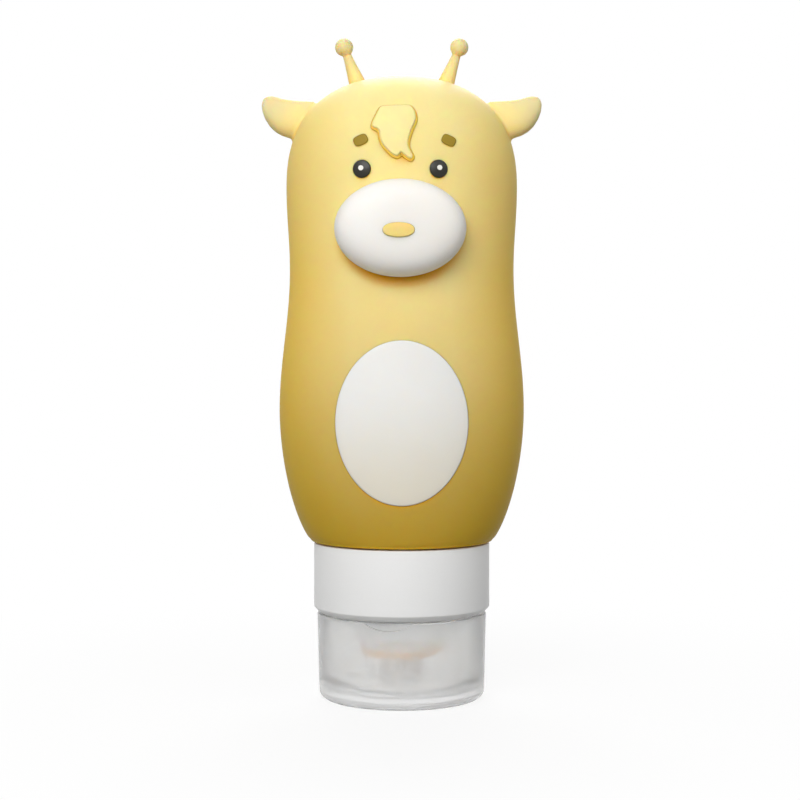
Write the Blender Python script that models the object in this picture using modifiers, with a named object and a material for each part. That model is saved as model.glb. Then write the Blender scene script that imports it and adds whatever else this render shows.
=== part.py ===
"""Refillable travel bottle for toiletries, moulded in silicone as a small giraffe.

It stands head up on its screw cap, whose flip-top lid is closed. Lengths are in metres, +Z is up,
and the face looks along -Y. The origin is the centre of the lid's end face, on the floor.
"""
import math

import bmesh
import bpy
from mathutils import Matrix, Vector

CLEARANCE = 0.0003
OVERRUN = 0.001

# The whole cap is screwed on with its front turned a little towards -X
CAP_TURN = math.radians(-9.0)

# Flip-top lid, from its end face at z = 0 up to the seam
LID_HEIGHT = 0.0174
LID_SET_IN = 0.00068
LID_TAPER = 0.00035
LID_CORNER = 0.002
LID_WALL = 0.00155
LID_END_WALL = 0.0019
LID_INNER_CORNER = 0.0045
LID_EDGE = 0.0002
SEAL_RADIUS = 0.0043
SEAL_WALL = 0.001
NOTCH_WIDTH = 0.010
NOTCH_DEPTH = 0.0016
NOTCH_INSET = 0.00115

# Screw collar: skirt, deck, locating ring, dome and nozzle
COLLAR_RADIUS = 0.01793
COLLAR_HEIGHT = 0.0141
COLLAR_WALL = 0.00173
COLLAR_EDGE = 0.0003
COLLAR_CHAMFER_HEIGHT = 0.0011
COLLAR_CHAMFER_WIDTH = 0.001
DECK_THICKNESS = 0.0016
LOCATING_RING_HEIGHT = 0.0013
LOCATING_RING_WALL = 0.0009
LID_FIT = 0.0004
DOME_SET_IN = 0.0014
DOME_TAPER = 0.0012
DOME_HEIGHT = 0.0053
DOME_CORNER = 0.0018
DOME_WALL = 0.0015
NOZZLE_RADIUS = 0.0072
NOZZLE_LENGTH = 0.002
NOZZLE_BORE = 0.0052
NOZZLE_GROOVE_DEPTH = 0.0004
NOZZLE_GROOVE_LENGTH = 0.00105
NOZZLE_GROOVE_SET_BACK = 0.00055

# Slit valve, a silicone cup drawn over the nozzle
VALVE_WALL = 0.001
VALVE_FACE_THICKNESS = 0.0011
VALVE_EDGE = 0.0003
VALVE_DISH_RADIUS = 0.0036
VALVE_DISH_DEPTH = 0.0008
SLIT_LENGTH = 0.005
SLIT_WIDTH = 0.0003

# Hinge at the back of the seam
HINGE_OUT = 0.00107
KNUCKLE_RADIUS = 0.002
KNUCKLE_WIDTH = 0.008
PIN_RADIUS = 0.00095
LUG_WIDTH = 0.0023
LUG_HEIGHT = 0.0042
LUG_OVERLAP = 0.0001
KNUCKLE_WEB_HEIGHT = 0.0048
KNUCKLE_WEB_ANGLE = -50.0

# Sealing gasket and rigid threaded neck
GASKET_THICKNESS = 0.0013
GASKET_WIDTH = 0.0028
NECK_WALL = 0.0025
NECK_EDGE = 0.0004
NECK_GROOVE_WALL = 0.0016
NECK_TAPER_HEIGHT = 0.0014
FLANGE_THICKNESS = 0.0015
MOUTH_WALL = 0.0017
MOUTH_LIP_WIDTH = 0.002
MOUTH_LIP_HEIGHT = 0.002

# Silicone bottle: widths and depths at its base, belly, waist and head, and heights above its base
BASE_WIDTH = 0.0366
BELLY_WIDTH = 0.0500
WAIST_WIDTH = 0.0458
HEAD_WIDTH = 0.0472
BELLY_DEPTH = 0.0400
WAIST_DEPTH = 0.0382
HEAD_DEPTH = 0.0388
BELLY_HEIGHT = 0.0266
WAIST_HEIGHT = 0.0552
CHEEK_HEIGHT = 0.0719
CROWN_HEIGHT = 0.0946
BODY_WALL = 0.0024
DOME_SHARE_POWER = 2.4
SHOULDER_POWERS = (1.85, 1.38)

# Ears, moulded with the bottle
EAR_SET_IN = 0.0036
EAR_ROOT_BELOW_CROWN = 0.0087
EAR_LENGTH = 0.0087
EAR_RISE = 0.0051
EAR_THICKNESS = 0.0052
EAR_OUTLINE_SHARES = (
    (-0.345, 0.745), (0.057, 0.775), (0.299, 0.804), (0.540, 0.873), (0.690, 0.961), (0.805, 0.980),
    (0.920, 0.922), (0.977, 0.824), (1.000, 0.608), (0.977, 0.333), (0.920, 0.059), (0.805, -0.255),
    (0.690, -0.451), (0.540, -0.608), (0.299, -0.745), (0.057, -0.824), (-0.345, -0.863),
)

# Horns, moulded with the bottle
HORN_ROOT_ACROSS = 0.0085
HORN_TIP_ACROSS = 0.0118
HORN_RISE = 0.0063
HORN_ROOT_BELOW_CROWN = 0.0030
HORN_ROOT_RADIUS = 0.0021
HORN_TIP_RADIUS = 0.00085
HORN_BALL_RADIUS = 0.0019

# Inlays, each in a seat cut into what carries it
INLAY_DEPTH = 0.0008
INLAY_RISE = 0.0004
PATCH_WIDTH = 0.0261
PATCH_HEIGHT = 0.0323
PATCH_BELOW_BELLY = 0.0019
EYE_WIDTH = 0.0035
EYE_ACROSS = 0.0075
EYE_BELOW_CROWN = 0.0203
FACE_SHIFT = -0.0003
BROW_LENGTH = 0.0028
BROW_WIDTH = 0.0020
BROW_TILT = math.radians(24.0)
BROW_POWER_SHARE = 3.0
BROW_LEFT_ACROSS = 0.00805
BROW_RIGHT_ACROSS = 0.0092
BROW_BELOW_CROWN = 0.0146
NOSE_WIDTH = 0.0061
NOSE_HEIGHT = 0.0028
NOSE_POWER_SHARE = 2.2
NOSE_BELOW_CROWN = 0.0326
FORELOCK_WIDTH = 0.00845
FORELOCK_HEIGHT = 0.01065
FORELOCK_ACROSS = 0.00156
FORELOCK_BELOW_CROWN = 0.01296
FORELOCK_RISE = 0.0010
FORELOCK_SHARES = (
    (-0.30, 0.47), (-0.14, 0.49), (0.29, 0.50), (0.39, 0.48), (0.47, 0.39), (0.50, 0.27),
    (0.48, 0.18), (0.41, 0.05), (0.36, -0.07), (0.33, -0.17), (0.33, -0.28), (0.38, -0.38),
    (0.43, -0.45), (0.41, -0.50), (0.35, -0.50), (0.26, -0.45), (0.17, -0.39), (0.10, -0.45),
    (0.03, -0.45), (-0.07, -0.40), (-0.18, -0.31), (-0.27, -0.21), (-0.32, -0.09), (-0.33, -0.01),
    (-0.38, 0.05), (-0.48, 0.09), (-0.50, 0.14), (-0.46, 0.23), (-0.39, 0.35),
)

# Muzzle, a thick pad bonded to the face
MUZZLE_WIDTH = 0.0257
MUZZLE_HEIGHT = 0.0191
MUZZLE_DEPTH = 0.0148
MUZZLE_OUT = 0.0067
MUZZLE_BELOW_CROWN = 0.0319
MUZZLE_POWER_SHARE = 3.4

# Facets
CAP_STEPS = 36
BODY_STEPS = 40
CAVITY_STEPS = 28
VALVE_STEPS = 28
MUZZLE_STEPS = 28
HORN_STEPS = 12
PIN_STEPS = 16
ROUND_END_STEPS = 12
SHOULDER_ROWS = 8
CURVE_ROWS = 4
DOME_ROWS = 7
EAR_ROWS = 3
ARC_STEPS = 4
OUTLINE_STEPS = 20
BROW_STEPS = 16
ROW_CROWDING_SHARE = 1.5
SHARP_ANGLE = math.radians(40.0)
FLAT_ANGLE = math.radians(0.1)

# Heights that follow from the sizes above
SEAM_Z = LID_HEIGHT + CLEARANCE
COLLAR_TOP_Z = SEAM_Z + COLLAR_HEIGHT
DECK_INNER_Z = SEAM_Z + DECK_THICKNESS
DOME_FACE_Z = SEAM_Z - DOME_HEIGHT
NOZZLE_END_Z = DOME_FACE_Z - NOZZLE_LENGTH
VALVE_FACE_Z = NOZZLE_END_Z - CLEARANCE - VALVE_FACE_THICKNESS
GASKET_Z = DECK_INNER_Z + CLEARANCE
NECK_BOTTOM_Z = GASKET_Z + GASKET_THICKNESS + CLEARANCE
BODY_BASE_Z = COLLAR_TOP_Z + CLEARANCE
CROWN_Z = BODY_BASE_Z + CROWN_HEIGHT
LIP_TOP_Z = BODY_BASE_Z + MOUTH_LIP_HEIGHT
FLANGE_Z = LIP_TOP_Z + CLEARANCE
POCKET_TOP_Z = FLANGE_Z + FLANGE_THICKNESS + CLEARANCE

# Radii that follow from the sizes above
SKIRT_INNER_RADIUS = COLLAR_RADIUS - COLLAR_WALL
NECK_RADIUS = SKIRT_INNER_RADIUS - CLEARANCE
LID_RIM_RADIUS = COLLAR_RADIUS - LID_SET_IN
LID_END_RADIUS = LID_RIM_RADIUS - LID_TAPER
LID_INNER_RADIUS = LID_RIM_RADIUS - LID_WALL
LOCATING_RING_RADIUS = LID_INNER_RADIUS - LID_FIT
DOME_BASE_RADIUS = LOCATING_RING_RADIUS - LOCATING_RING_WALL - DOME_SET_IN
DOME_TOP_RADIUS = DOME_BASE_RADIUS - DOME_TAPER
FLANGE_RADIUS = BASE_WIDTH / 2 - MOUTH_WALL
MOUTH_LIP_RADIUS = NECK_RADIUS - MOUTH_LIP_WIDTH
HINGE_Y = COLLAR_RADIUS + HINGE_OUT
HINGE_Z = LID_HEIGHT + CLEARANCE / 2

# How a flat outline stands in the model: facing the front, and seen from the side
FACING_FRONT = Matrix(((1, 0, 0, 0), (0, 0, -1, 0), (0, 1, 0, 0), (0, 0, 0, 1)))
FACING_SIDE = Matrix(((0, 0, 1, 0), (1, 0, 0, 0), (0, 1, 0, 0), (0, 0, 0, 1)))


# Scene, materials and objects

def clear_scene():
    """Remove every object and collection that the file opened with."""
    for old in list(bpy.data.objects):
        bpy.data.objects.remove(old, do_unlink=True)
    for old in list(bpy.data.collections):
        bpy.data.collections.remove(old)


def make_collection(name):
    """Return a new collection linked to the scene."""
    collection = bpy.data.collections.new(name)
    bpy.context.scene.collection.children.link(collection)
    return collection


def linear(colour):
    """Return a hex colour as linear red, green and blue with full alpha."""
    channels = [int(colour[i:i + 2], 16) / 255 for i in (1, 3, 5)]
    return [c / 12.92 if c <= 0.04045 else ((c + 0.055) / 1.055) ** 2.4 for c in channels] + [1.0]


def make_material(name, colour, roughness):
    """Return a Principled material of one colour and roughness."""
    material = bpy.data.materials.new(name)
    material.use_nodes = True
    shader = material.node_tree.nodes["Principled BSDF"]
    shader.inputs["Base Color"].default_value = linear(colour)
    shader.inputs["Roughness"].default_value = roughness
    shader.inputs["Metallic"].default_value = 0.0
    return material


def add_object(name, data, collection):
    """Link an object that shows the given data."""
    made = bpy.data.objects.new(name, data)
    collection.objects.link(made)
    return made


def evaluated_mesh(source):
    """Return a welded copy of an object's evaluated mesh, in world space."""
    bpy.context.view_layer.update()
    graph = bpy.context.evaluated_depsgraph_get()
    mesh = bpy.data.meshes.new_from_object(source.evaluated_get(graph))
    mesh.transform(source.matrix_world)
    shape = bmesh.new()
    shape.from_mesh(mesh)
    bmesh.ops.remove_doubles(shape, verts=shape.verts, dist=CLEARANCE / 100)
    shape.to_mesh(mesh)
    shape.free()
    return mesh


def combine(target, tool, operation):
    """Join a tool to a target, cut it away or keep only what both hold."""
    step = target.modifiers.new(operation.lower() + "_" + tool.name, "BOOLEAN")
    step.operation = operation
    step.solver = "EXACT"
    step.object = tool
    for holder in list(tool.users_collection):
        holder.objects.unlink(tool)
    TOOLS.objects.link(tool)
    tool.hide_render = True
    tool.display_type = "WIRE"


def finish(piece, material):
    """Give a piece its material and smooth shading with crisp edges."""
    piece.data.materials.clear()
    piece.data.materials.append(material)
    piece.data.shade_smooth()
    piece.data.set_sharp_from_angle(angle=SHARP_ANGLE)


# Outlines

def arc(centre, radius, start, end, steps=ARC_STEPS):
    """Return points along a circular arc, from one angle in degrees to another."""
    angles = [math.radians(start + (end - start) * i / steps) for i in range(steps + 1)]
    return [(centre[0] + radius * math.cos(a), centre[1] + radius * math.sin(a)) for a in angles]


def oval(half_width, half_height, power=2.0, tilt=0.0, steps=OUTLINE_STEPS):
    """Return a closed superellipse, counterclockwise, turned by a tilt in radians."""
    points = []
    for i in range(steps):
        angle = 2 * math.pi * i / steps
        x = half_width * math.copysign(abs(math.cos(angle)) ** (2 / power), math.cos(angle))
        y = half_height * math.copysign(abs(math.sin(angle)) ** (2 / power), math.sin(angle))
        points.append((x * math.cos(tilt) - y * math.sin(tilt), x * math.sin(tilt) + y * math.cos(tilt)))
    return points


def scaled(shares, width, height):
    """Return an outline from shares of a width and a height."""
    return [(across * width, up * height) for across, up in shares]


def moved(outline, across, up):
    """Return an outline moved sideways and up."""
    return [(x + across, y + up) for x, y in outline]


def grown(outline, distance):
    """Return a counterclockwise outline whose sides all lie a distance further out."""
    result = []
    for i, point in enumerate(outline):
        here = Vector(point)
        before = (here - Vector(outline[i - 1])).normalized()
        after = (Vector(outline[(i + 1) % len(outline)]) - here).normalized()
        normal = Vector((before.y + after.y, -before.x - after.x)).normalized()
        reach = distance / max(normal.dot(Vector((before.y, -before.x))), 0.5)
        result.append(tuple(here + normal * reach))
    return result


# Solids

def turned(name, profile, steps, closed=False):
    """Turn a profile of radii and heights about the Z axis; it runs down its outer side."""
    mesh = bpy.data.meshes.new(name)
    shape = bmesh.new()
    points = [shape.verts.new((radius, 0.0, height)) for radius, height in profile]
    for first, second in zip(points, points[1:]):
        shape.edges.new((first, second))
    if closed:
        shape.edges.new((points[-1], points[0]))
    shape.to_mesh(mesh)
    shape.free()
    piece = add_object(name, mesh, PARTS)
    screw = piece.modifiers.new("turn", "SCREW")
    screw.axis = "Z"
    screw.steps = steps
    screw.render_steps = steps
    screw.use_merge_vertices = True
    screw.merge_threshold = CLEARANCE / 10
    screw.use_smooth_shade = True
    return piece


def plate(name, outline, standing, low, high):
    """Extrude a flat outline, stood up by a matrix, between two depths along its normal."""
    curve = bpy.data.curves.new(name, "CURVE")
    curve.dimensions = "2D"
    curve.fill_mode = "BOTH"
    curve.extrude = (high - low) / 2
    spline = curve.splines.new("POLY")
    spline.points.add(len(outline) - 1)
    for point, place in zip(spline.points, outline):
        point.co = (*place, 0.0, 1.0)
    spline.use_cyclic_u = True
    flat = add_object(name + "_outline", curve, PARTS)
    flat.matrix_world = standing @ Matrix.Translation((0.0, 0.0, (low + high) / 2))
    mesh = evaluated_mesh(flat)
    bpy.data.objects.remove(flat, do_unlink=True)
    shape = bmesh.new()
    shape.from_mesh(mesh)
    bmesh.ops.dissolve_limit(shape, angle_limit=FLAT_ANGLE, verts=shape.verts, edges=shape.edges)
    shape.to_mesh(mesh)
    shape.free()
    return add_object(name, mesh, PARTS)


def pillow(name, outline, centre, half_thickness, rows=EAR_ROWS):
    """Make a closed leaf from upright outlines that are drawn in towards a centre, front and back."""
    shape = bmesh.new()
    loops = []
    for i in range(-rows, rows + 1):
        angle = math.pi / 2 * i / (rows + 1)
        share = math.sqrt(math.cos(angle))
        depth = half_thickness * math.sin(angle)
        ring = [(centre[0] + (x - centre[0]) * share, centre[1] + (z - centre[1]) * share)
                for x, z in outline]
        points = [shape.verts.new((x, depth, z)) for x, z in ring]
        loops.append([shape.edges.new((points[j - 1], points[j])) for j in range(len(points))])
    for first, second in zip(loops, loops[1:]):
        bmesh.ops.bridge_loops(shape, edges=first + second)
    for rim in (loops[0], loops[-1]):
        bmesh.ops.edgeloop_fill(shape, edges=rim)
    bmesh.ops.recalc_face_normals(shape, faces=shape.faces)
    mesh = bpy.data.meshes.new(name)
    shape.to_mesh(mesh)
    shape.free()
    return add_object(name, mesh, PARTS)


def cylinder(name, radius, length, centre, along, steps=CAP_STEPS, end_radius=None):
    """Make a cylinder or a cone about a centre, along a direction."""
    shape = bmesh.new()
    far = radius if end_radius is None else end_radius
    bmesh.ops.create_cone(shape, cap_ends=True, segments=steps, radius1=radius, radius2=far, depth=length)
    turn = Vector((0, 0, 1)).rotation_difference(Vector(along)).to_matrix().to_4x4()
    bmesh.ops.transform(shape, matrix=Matrix.Translation(centre) @ turn, verts=shape.verts)
    mesh = bpy.data.meshes.new(name)
    shape.to_mesh(mesh)
    shape.free()
    return add_object(name, mesh, PARTS)


def block(name, size, centre):
    """Make a box of a size about a centre."""
    shape = bmesh.new()
    bmesh.ops.create_cube(shape, size=1.0)
    bmesh.ops.scale(shape, vec=size, verts=shape.verts)
    bmesh.ops.translate(shape, vec=centre, verts=shape.verts)
    mesh = bpy.data.meshes.new(name)
    shape.to_mesh(mesh)
    shape.free()
    return add_object(name, mesh, PARTS)


# The bottle's outer form

def ease(share):
    """Return a smooth step from 0 to 1."""
    return (1 - math.cos(math.pi * share)) / 2


def half_size(height, base, belly, waist, head):
    """Return half the bottle's width or depth at a height above its base, from four full sizes."""
    if height <= BELLY_HEIGHT:
        lean, bulge = SHOULDER_POWERS
        share = (1 - (1 - height / BELLY_HEIGHT) ** lean) ** (1 / bulge)
        return (base + (belly - base) * share) / 2
    if height <= WAIST_HEIGHT:
        share = ease((height - BELLY_HEIGHT) / (WAIST_HEIGHT - BELLY_HEIGHT))
        return (belly + (waist - belly) * share) / 2
    if height <= CHEEK_HEIGHT:
        share = ease((height - WAIST_HEIGHT) / (CHEEK_HEIGHT - WAIST_HEIGHT))
        return (waist + (head - waist) * share) / 2
    share = min((height - CHEEK_HEIGHT) / (CROWN_HEIGHT - CHEEK_HEIGHT), 1.0)
    return head * (1 - share ** DOME_SHARE_POWER) ** (1 / DOME_SHARE_POWER) / 2


def half_width(height):
    """Return half the bottle's width at a height above its base."""
    return half_size(height, BASE_WIDTH, BELLY_WIDTH, WAIST_WIDTH, HEAD_WIDTH)


def half_depth(height):
    """Return half the bottle's depth at a height above its base, round at the base itself."""
    return half_size(height, BASE_WIDTH, BELLY_DEPTH, WAIST_DEPTH, HEAD_DEPTH)


def profile_heights():
    """Return the heights of the bottle's rows above its base, from the crown down."""
    power = 2 / DOME_SHARE_POWER
    dome = [math.cos(math.pi / 2 * i / DOME_ROWS) ** power for i in range(DOME_ROWS + 1)]
    heights = [CHEEK_HEIGHT + (CROWN_HEIGHT - CHEEK_HEIGHT) * share for share in dome]
    for low, high in ((WAIST_HEIGHT, CHEEK_HEIGHT), (BELLY_HEIGHT, WAIST_HEIGHT)):
        heights += [high + (low - high) * (i + 1) / CURVE_ROWS for i in range(CURVE_ROWS)]
    shoulder = [(1 - (i + 1) / SHOULDER_ROWS) ** ROW_CROWDING_SHARE for i in range(SHOULDER_ROWS)]
    return heights + [BELLY_HEIGHT * share for share in shoulder]


def body_form(growth, steps=BODY_STEPS):
    """Return the bottle's outer form, solid, with its skin moved out by a growth."""
    name = f"body_form_{growth * 1e6:.0f}"
    if name in FORMS:
        return FORMS[name]
    heights = profile_heights()
    profile = [(half_width(h), BODY_BASE_Z + h) for h in heights] + [(0.0, BODY_BASE_Z)]
    profile[0] = (0.0, CROWN_Z)
    source = turned(name, profile, steps)
    mesh = evaluated_mesh(source)
    bpy.data.objects.remove(source, do_unlink=True)
    for vertex in mesh.vertices:
        height = min(max(vertex.co.z - BODY_BASE_Z, 0.0), CROWN_HEIGHT)
        if half_width(height) > 0.0:
            vertex.co.y *= half_depth(height) / half_width(height)
    FORMS[name] = add_object(name, offset_mesh(mesh, growth), PARTS)
    return FORMS[name]


def offset_mesh(mesh, growth):
    """Move every vertex of a mesh out along its normal."""
    shape = bmesh.new()
    shape.from_mesh(mesh)
    bmesh.ops.recalc_face_normals(shape, faces=shape.faces)
    shape.normal_update()
    places = [vertex.co + vertex.normal * growth * vertex.calc_shell_factor() for vertex in shape.verts]
    for vertex, place in zip(shape.verts, places):
        vertex.co = place
    shape.to_mesh(mesh)
    shape.free()
    return mesh


def muzzle_form(growth):
    """Return the muzzle's pillow form, solid, with its skin moved out by a growth."""
    name = f"muzzle_form_{growth * 1e6:.0f}"
    if name in FORMS:
        return FORMS[name]
    half = Vector((MUZZLE_WIDTH / 2, MUZZLE_DEPTH / 2, MUZZLE_HEIGHT / 2))
    centre = Vector((FACE_SHIFT, -muzzle_front() + MUZZLE_DEPTH / 2, CROWN_Z - MUZZLE_BELOW_CROWN))
    shape = bmesh.new()
    bmesh.ops.create_uvsphere(shape, u_segments=MUZZLE_STEPS, v_segments=MUZZLE_STEPS // 2, radius=1.0)
    for vertex in shape.verts:
        across = math.hypot(vertex.co.x, vertex.co.z) ** MUZZLE_POWER_SHARE
        spread = (across + abs(vertex.co.y) ** MUZZLE_POWER_SHARE) ** (1 / MUZZLE_POWER_SHARE)
        vertex.co = centre + Vector(part * size / spread for part, size in zip(vertex.co, half))
    mesh = bpy.data.meshes.new(name)
    shape.to_mesh(mesh)
    shape.free()
    FORMS[name] = add_object(name, offset_mesh(mesh, growth), PARTS)
    return FORMS[name]


def muzzle_front():
    """Return how far the front of the muzzle lies in front of the axis."""
    return half_depth(CROWN_HEIGHT - MUZZLE_BELOW_CROWN) + MUZZLE_OUT


def inlay(name, carrier, form, outline, rise, depth, start=0.0):
    """Set a flat-sided inlay into a seat in a carrier; both follow the front of the carrier's form."""
    reach = muzzle_front() + OVERRUN
    seat = plate(name + "_seat", grown(outline, CLEARANCE), FACING_FRONT, start, reach)
    combine(seat, form(-depth), "DIFFERENCE")
    combine(carrier, seat, "DIFFERENCE")
    piece = plate(name, outline, FACING_FRONT, start, reach)
    combine(piece, form(rise), "INTERSECT")
    combine(piece, form(CLEARANCE - depth), "DIFFERENCE")
    return piece


# Bottle, ears and horns

def trimmed_above(source, height):
    """Return a closed copy of a mesh that keeps only what lies above a height."""
    shape = bmesh.new()
    shape.from_mesh(source.data)
    whole = shape.verts[:] + shape.edges[:] + shape.faces[:]
    bmesh.ops.bisect_plane(shape, geom=whole, plane_co=(0, 0, height), plane_no=(0, 0, 1), clear_inner=True)
    rim = [edge for edge in shape.edges if edge.is_boundary]
    bmesh.ops.edgeloop_fill(shape, edges=rim)
    bmesh.ops.recalc_face_normals(shape, faces=shape.faces)
    mesh = bpy.data.meshes.new("cavity")
    shape.to_mesh(mesh)
    shape.free()
    return add_object("cavity", mesh, PARTS)


def make_ear(side):
    """Make one leaf-shaped ear whose root lies inside the head."""
    outline = scaled(EAR_OUTLINE_SHARES, EAR_LENGTH, EAR_RISE)
    root = HEAD_WIDTH / 2 - EAR_SET_IN
    outline = moved(outline, root, CROWN_Z - EAR_ROOT_BELOW_CROWN)
    outline = [(side * x, z) for x, z in outline]
    centre = (side * (root + EAR_LENGTH / 3), CROWN_Z - EAR_ROOT_BELOW_CROWN)
    return pillow(f"ear_{side}", outline, centre, EAR_THICKNESS / 2)


def add_horn(body, side):
    """Join one tapered horn and its round tip to the head."""
    root = Vector((side * HORN_ROOT_ACROSS, 0.0, CROWN_Z - HORN_ROOT_BELOW_CROWN))
    tip = Vector((side * HORN_TIP_ACROSS, 0.0, CROWN_Z + HORN_RISE))
    stem = cylinder(f"horn_stem_{side}", HORN_ROOT_RADIUS, (tip - root).length, (root + tip) / 2,
                    (tip - root).normalized(), steps=HORN_STEPS, end_radius=HORN_TIP_RADIUS)
    shape = bmesh.new()
    rows = HORN_STEPS * 2 // 3
    bmesh.ops.create_uvsphere(shape, u_segments=HORN_STEPS, v_segments=rows, radius=HORN_BALL_RADIUS)
    bmesh.ops.translate(shape, vec=tip, verts=shape.verts)
    mesh = bpy.data.meshes.new(f"horn_ball_{side}")
    shape.to_mesh(mesh)
    shape.free()
    combine(body, stem, "UNION")
    combine(body, add_object(mesh.name, mesh, PARTS), "UNION")


def make_body():
    """Make the hollow bottle with its mouth, which grips the rigid neck like a grommet."""
    body = add_object("bottle_body", body_form(0.0).data.copy(), PARTS)
    for side in (-1, 1):
        combine(body, make_ear(side), "UNION")
        add_horn(body, side)
    combine(body, trimmed_above(body_form(-BODY_WALL, CAVITY_STEPS), POCKET_TOP_Z - CLEARANCE), "DIFFERENCE")
    pocket = FLANGE_RADIUS + CLEARANCE
    mouth = turned("mouth", [
        (0.0, POCKET_TOP_Z), (pocket, POCKET_TOP_Z), (pocket, LIP_TOP_Z), (MOUTH_LIP_RADIUS, LIP_TOP_Z),
        (MOUTH_LIP_RADIUS, BODY_BASE_Z - OVERRUN), (0.0, BODY_BASE_Z - OVERRUN),
    ], CAP_STEPS)
    combine(body, mouth, "DIFFERENCE")
    return body


# Face and belly

def make_muzzle():
    """Make the muzzle pad, whose back follows the face it is bonded to."""
    muzzle = add_object("muzzle", muzzle_form(0.0).data.copy(), PARTS)
    combine(muzzle, body_form(CLEARANCE), "DIFFERENCE")
    return muzzle


def make_face(body, muzzle):
    """Set the inlays into the bottle and the muzzle, and return them by name."""
    belly_z = BODY_BASE_Z + BELLY_HEIGHT
    patch = moved(oval(PATCH_WIDTH / 2, PATCH_HEIGHT / 2), 0.0, belly_z - PATCH_BELOW_BELLY)
    pieces = {"belly_patch": inlay("belly_patch", body, body_form, patch, CLEARANCE, INLAY_DEPTH)}
    brows = {-1: BROW_LEFT_ACROSS, 1: BROW_RIGHT_ACROSS}
    for side, word in ((-1, "left"), (1, "right")):
        across = FACE_SHIFT + side * EYE_ACROSS
        eye = moved(oval(EYE_WIDTH / 2, EYE_WIDTH / 2), across, CROWN_Z - EYE_BELOW_CROWN)
        pieces["eye_" + word] = inlay("eye_" + word, body, body_form, eye, INLAY_RISE, INLAY_DEPTH)
        brow = oval(BROW_LENGTH / 2, BROW_WIDTH / 2, BROW_POWER_SHARE, -side * BROW_TILT, BROW_STEPS)
        brow = moved(brow, side * brows[side], CROWN_Z - BROW_BELOW_CROWN)
        pieces["brow_" + word] = inlay("brow_" + word, body, body_form, brow, INLAY_RISE, INLAY_DEPTH)
    forelock = list(reversed(scaled(FORELOCK_SHARES, FORELOCK_WIDTH, FORELOCK_HEIGHT)))
    forelock = moved(forelock, -FORELOCK_ACROSS, CROWN_Z - FORELOCK_BELOW_CROWN)
    pieces["forelock"] = inlay("forelock", body, body_form, forelock, FORELOCK_RISE, INLAY_DEPTH)
    nose = oval(NOSE_WIDTH / 2, NOSE_HEIGHT / 2, NOSE_POWER_SHARE)
    nose = moved(nose, FACE_SHIFT * 2, CROWN_Z - NOSE_BELOW_CROWN)
    middle = muzzle_front() - MUZZLE_DEPTH / 2
    pieces["nose"] = inlay("nose", muzzle, muzzle_form, nose, CLEARANCE, INLAY_DEPTH, start=middle)
    return pieces


# Neck and gasket

def make_neck():
    """Make the rigid neck: flange and groove in the silicone mouth, plain threaded part in the cap."""
    groove = MOUTH_LIP_RADIUS - CLEARANCE
    bore = groove - NECK_GROOVE_WALL
    wide_bore = NECK_RADIUS - NECK_WALL
    taper_top = COLLAR_TOP_Z - NECK_WALL / 2
    flange_top = FLANGE_Z + FLANGE_THICKNESS
    return turned("neck_ring", [
        (bore, flange_top), (FLANGE_RADIUS - NECK_EDGE, flange_top), (FLANGE_RADIUS, flange_top - NECK_EDGE),
        (FLANGE_RADIUS, FLANGE_Z), (groove, FLANGE_Z), (groove, COLLAR_TOP_Z), (NECK_RADIUS, COLLAR_TOP_Z),
        (NECK_RADIUS, NECK_BOTTOM_Z + NECK_EDGE), (NECK_RADIUS - NECK_EDGE, NECK_BOTTOM_Z),
        (wide_bore, NECK_BOTTOM_Z), (wide_bore, taper_top - NECK_TAPER_HEIGHT), (bore, taper_top),
    ], CAP_STEPS, closed=True)


def make_gasket():
    """Make the flat sealing ring that the neck presses on the deck."""
    outer = NECK_RADIUS - CLEARANCE / 2
    top = GASKET_Z + GASKET_THICKNESS
    inner = outer - GASKET_WIDTH
    ring = [(inner, top), (outer, top), (outer, GASKET_Z), (inner, GASKET_Z)]
    return turned("gasket", ring, CAP_STEPS, closed=True)


# Screw collar

def collar_outside():
    """Return the collar's outer profile: skirt, chamfer, locating ring, dome and nozzle."""
    ring = LOCATING_RING_RADIUS
    ring_end = SEAM_Z - LOCATING_RING_HEIGHT
    corner = (DOME_TOP_RADIUS - DOME_CORNER, DOME_FACE_Z + DOME_CORNER)
    groove_top = DOME_FACE_Z - NOZZLE_GROOVE_SET_BACK + COLLAR_EDGE / 2
    groove_end = groove_top - NOZZLE_GROOVE_LENGTH
    groove = NOZZLE_RADIUS - NOZZLE_GROOVE_DEPTH
    return [
        (0.0, COLLAR_TOP_Z), (COLLAR_RADIUS - COLLAR_EDGE, COLLAR_TOP_Z),
        (COLLAR_RADIUS, COLLAR_TOP_Z - COLLAR_EDGE), (COLLAR_RADIUS, SEAM_Z + COLLAR_CHAMFER_HEIGHT),
        (COLLAR_RADIUS - COLLAR_CHAMFER_WIDTH, SEAM_Z), (ring, SEAM_Z), (ring, ring_end + COLLAR_EDGE),
        (ring - COLLAR_EDGE, ring_end), (ring - LOCATING_RING_WALL, ring_end),
        (ring - LOCATING_RING_WALL, SEAM_Z), (DOME_BASE_RADIUS, SEAM_Z),
        *arc(corner, DOME_CORNER, 0, -90),
        (NOZZLE_RADIUS, DOME_FACE_Z), (NOZZLE_RADIUS, groove_top), (groove, groove_top),
        (groove, groove_end), (NOZZLE_RADIUS, groove_end),
        (NOZZLE_RADIUS, NOZZLE_END_Z), (0.0, NOZZLE_END_Z),
    ]


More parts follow.
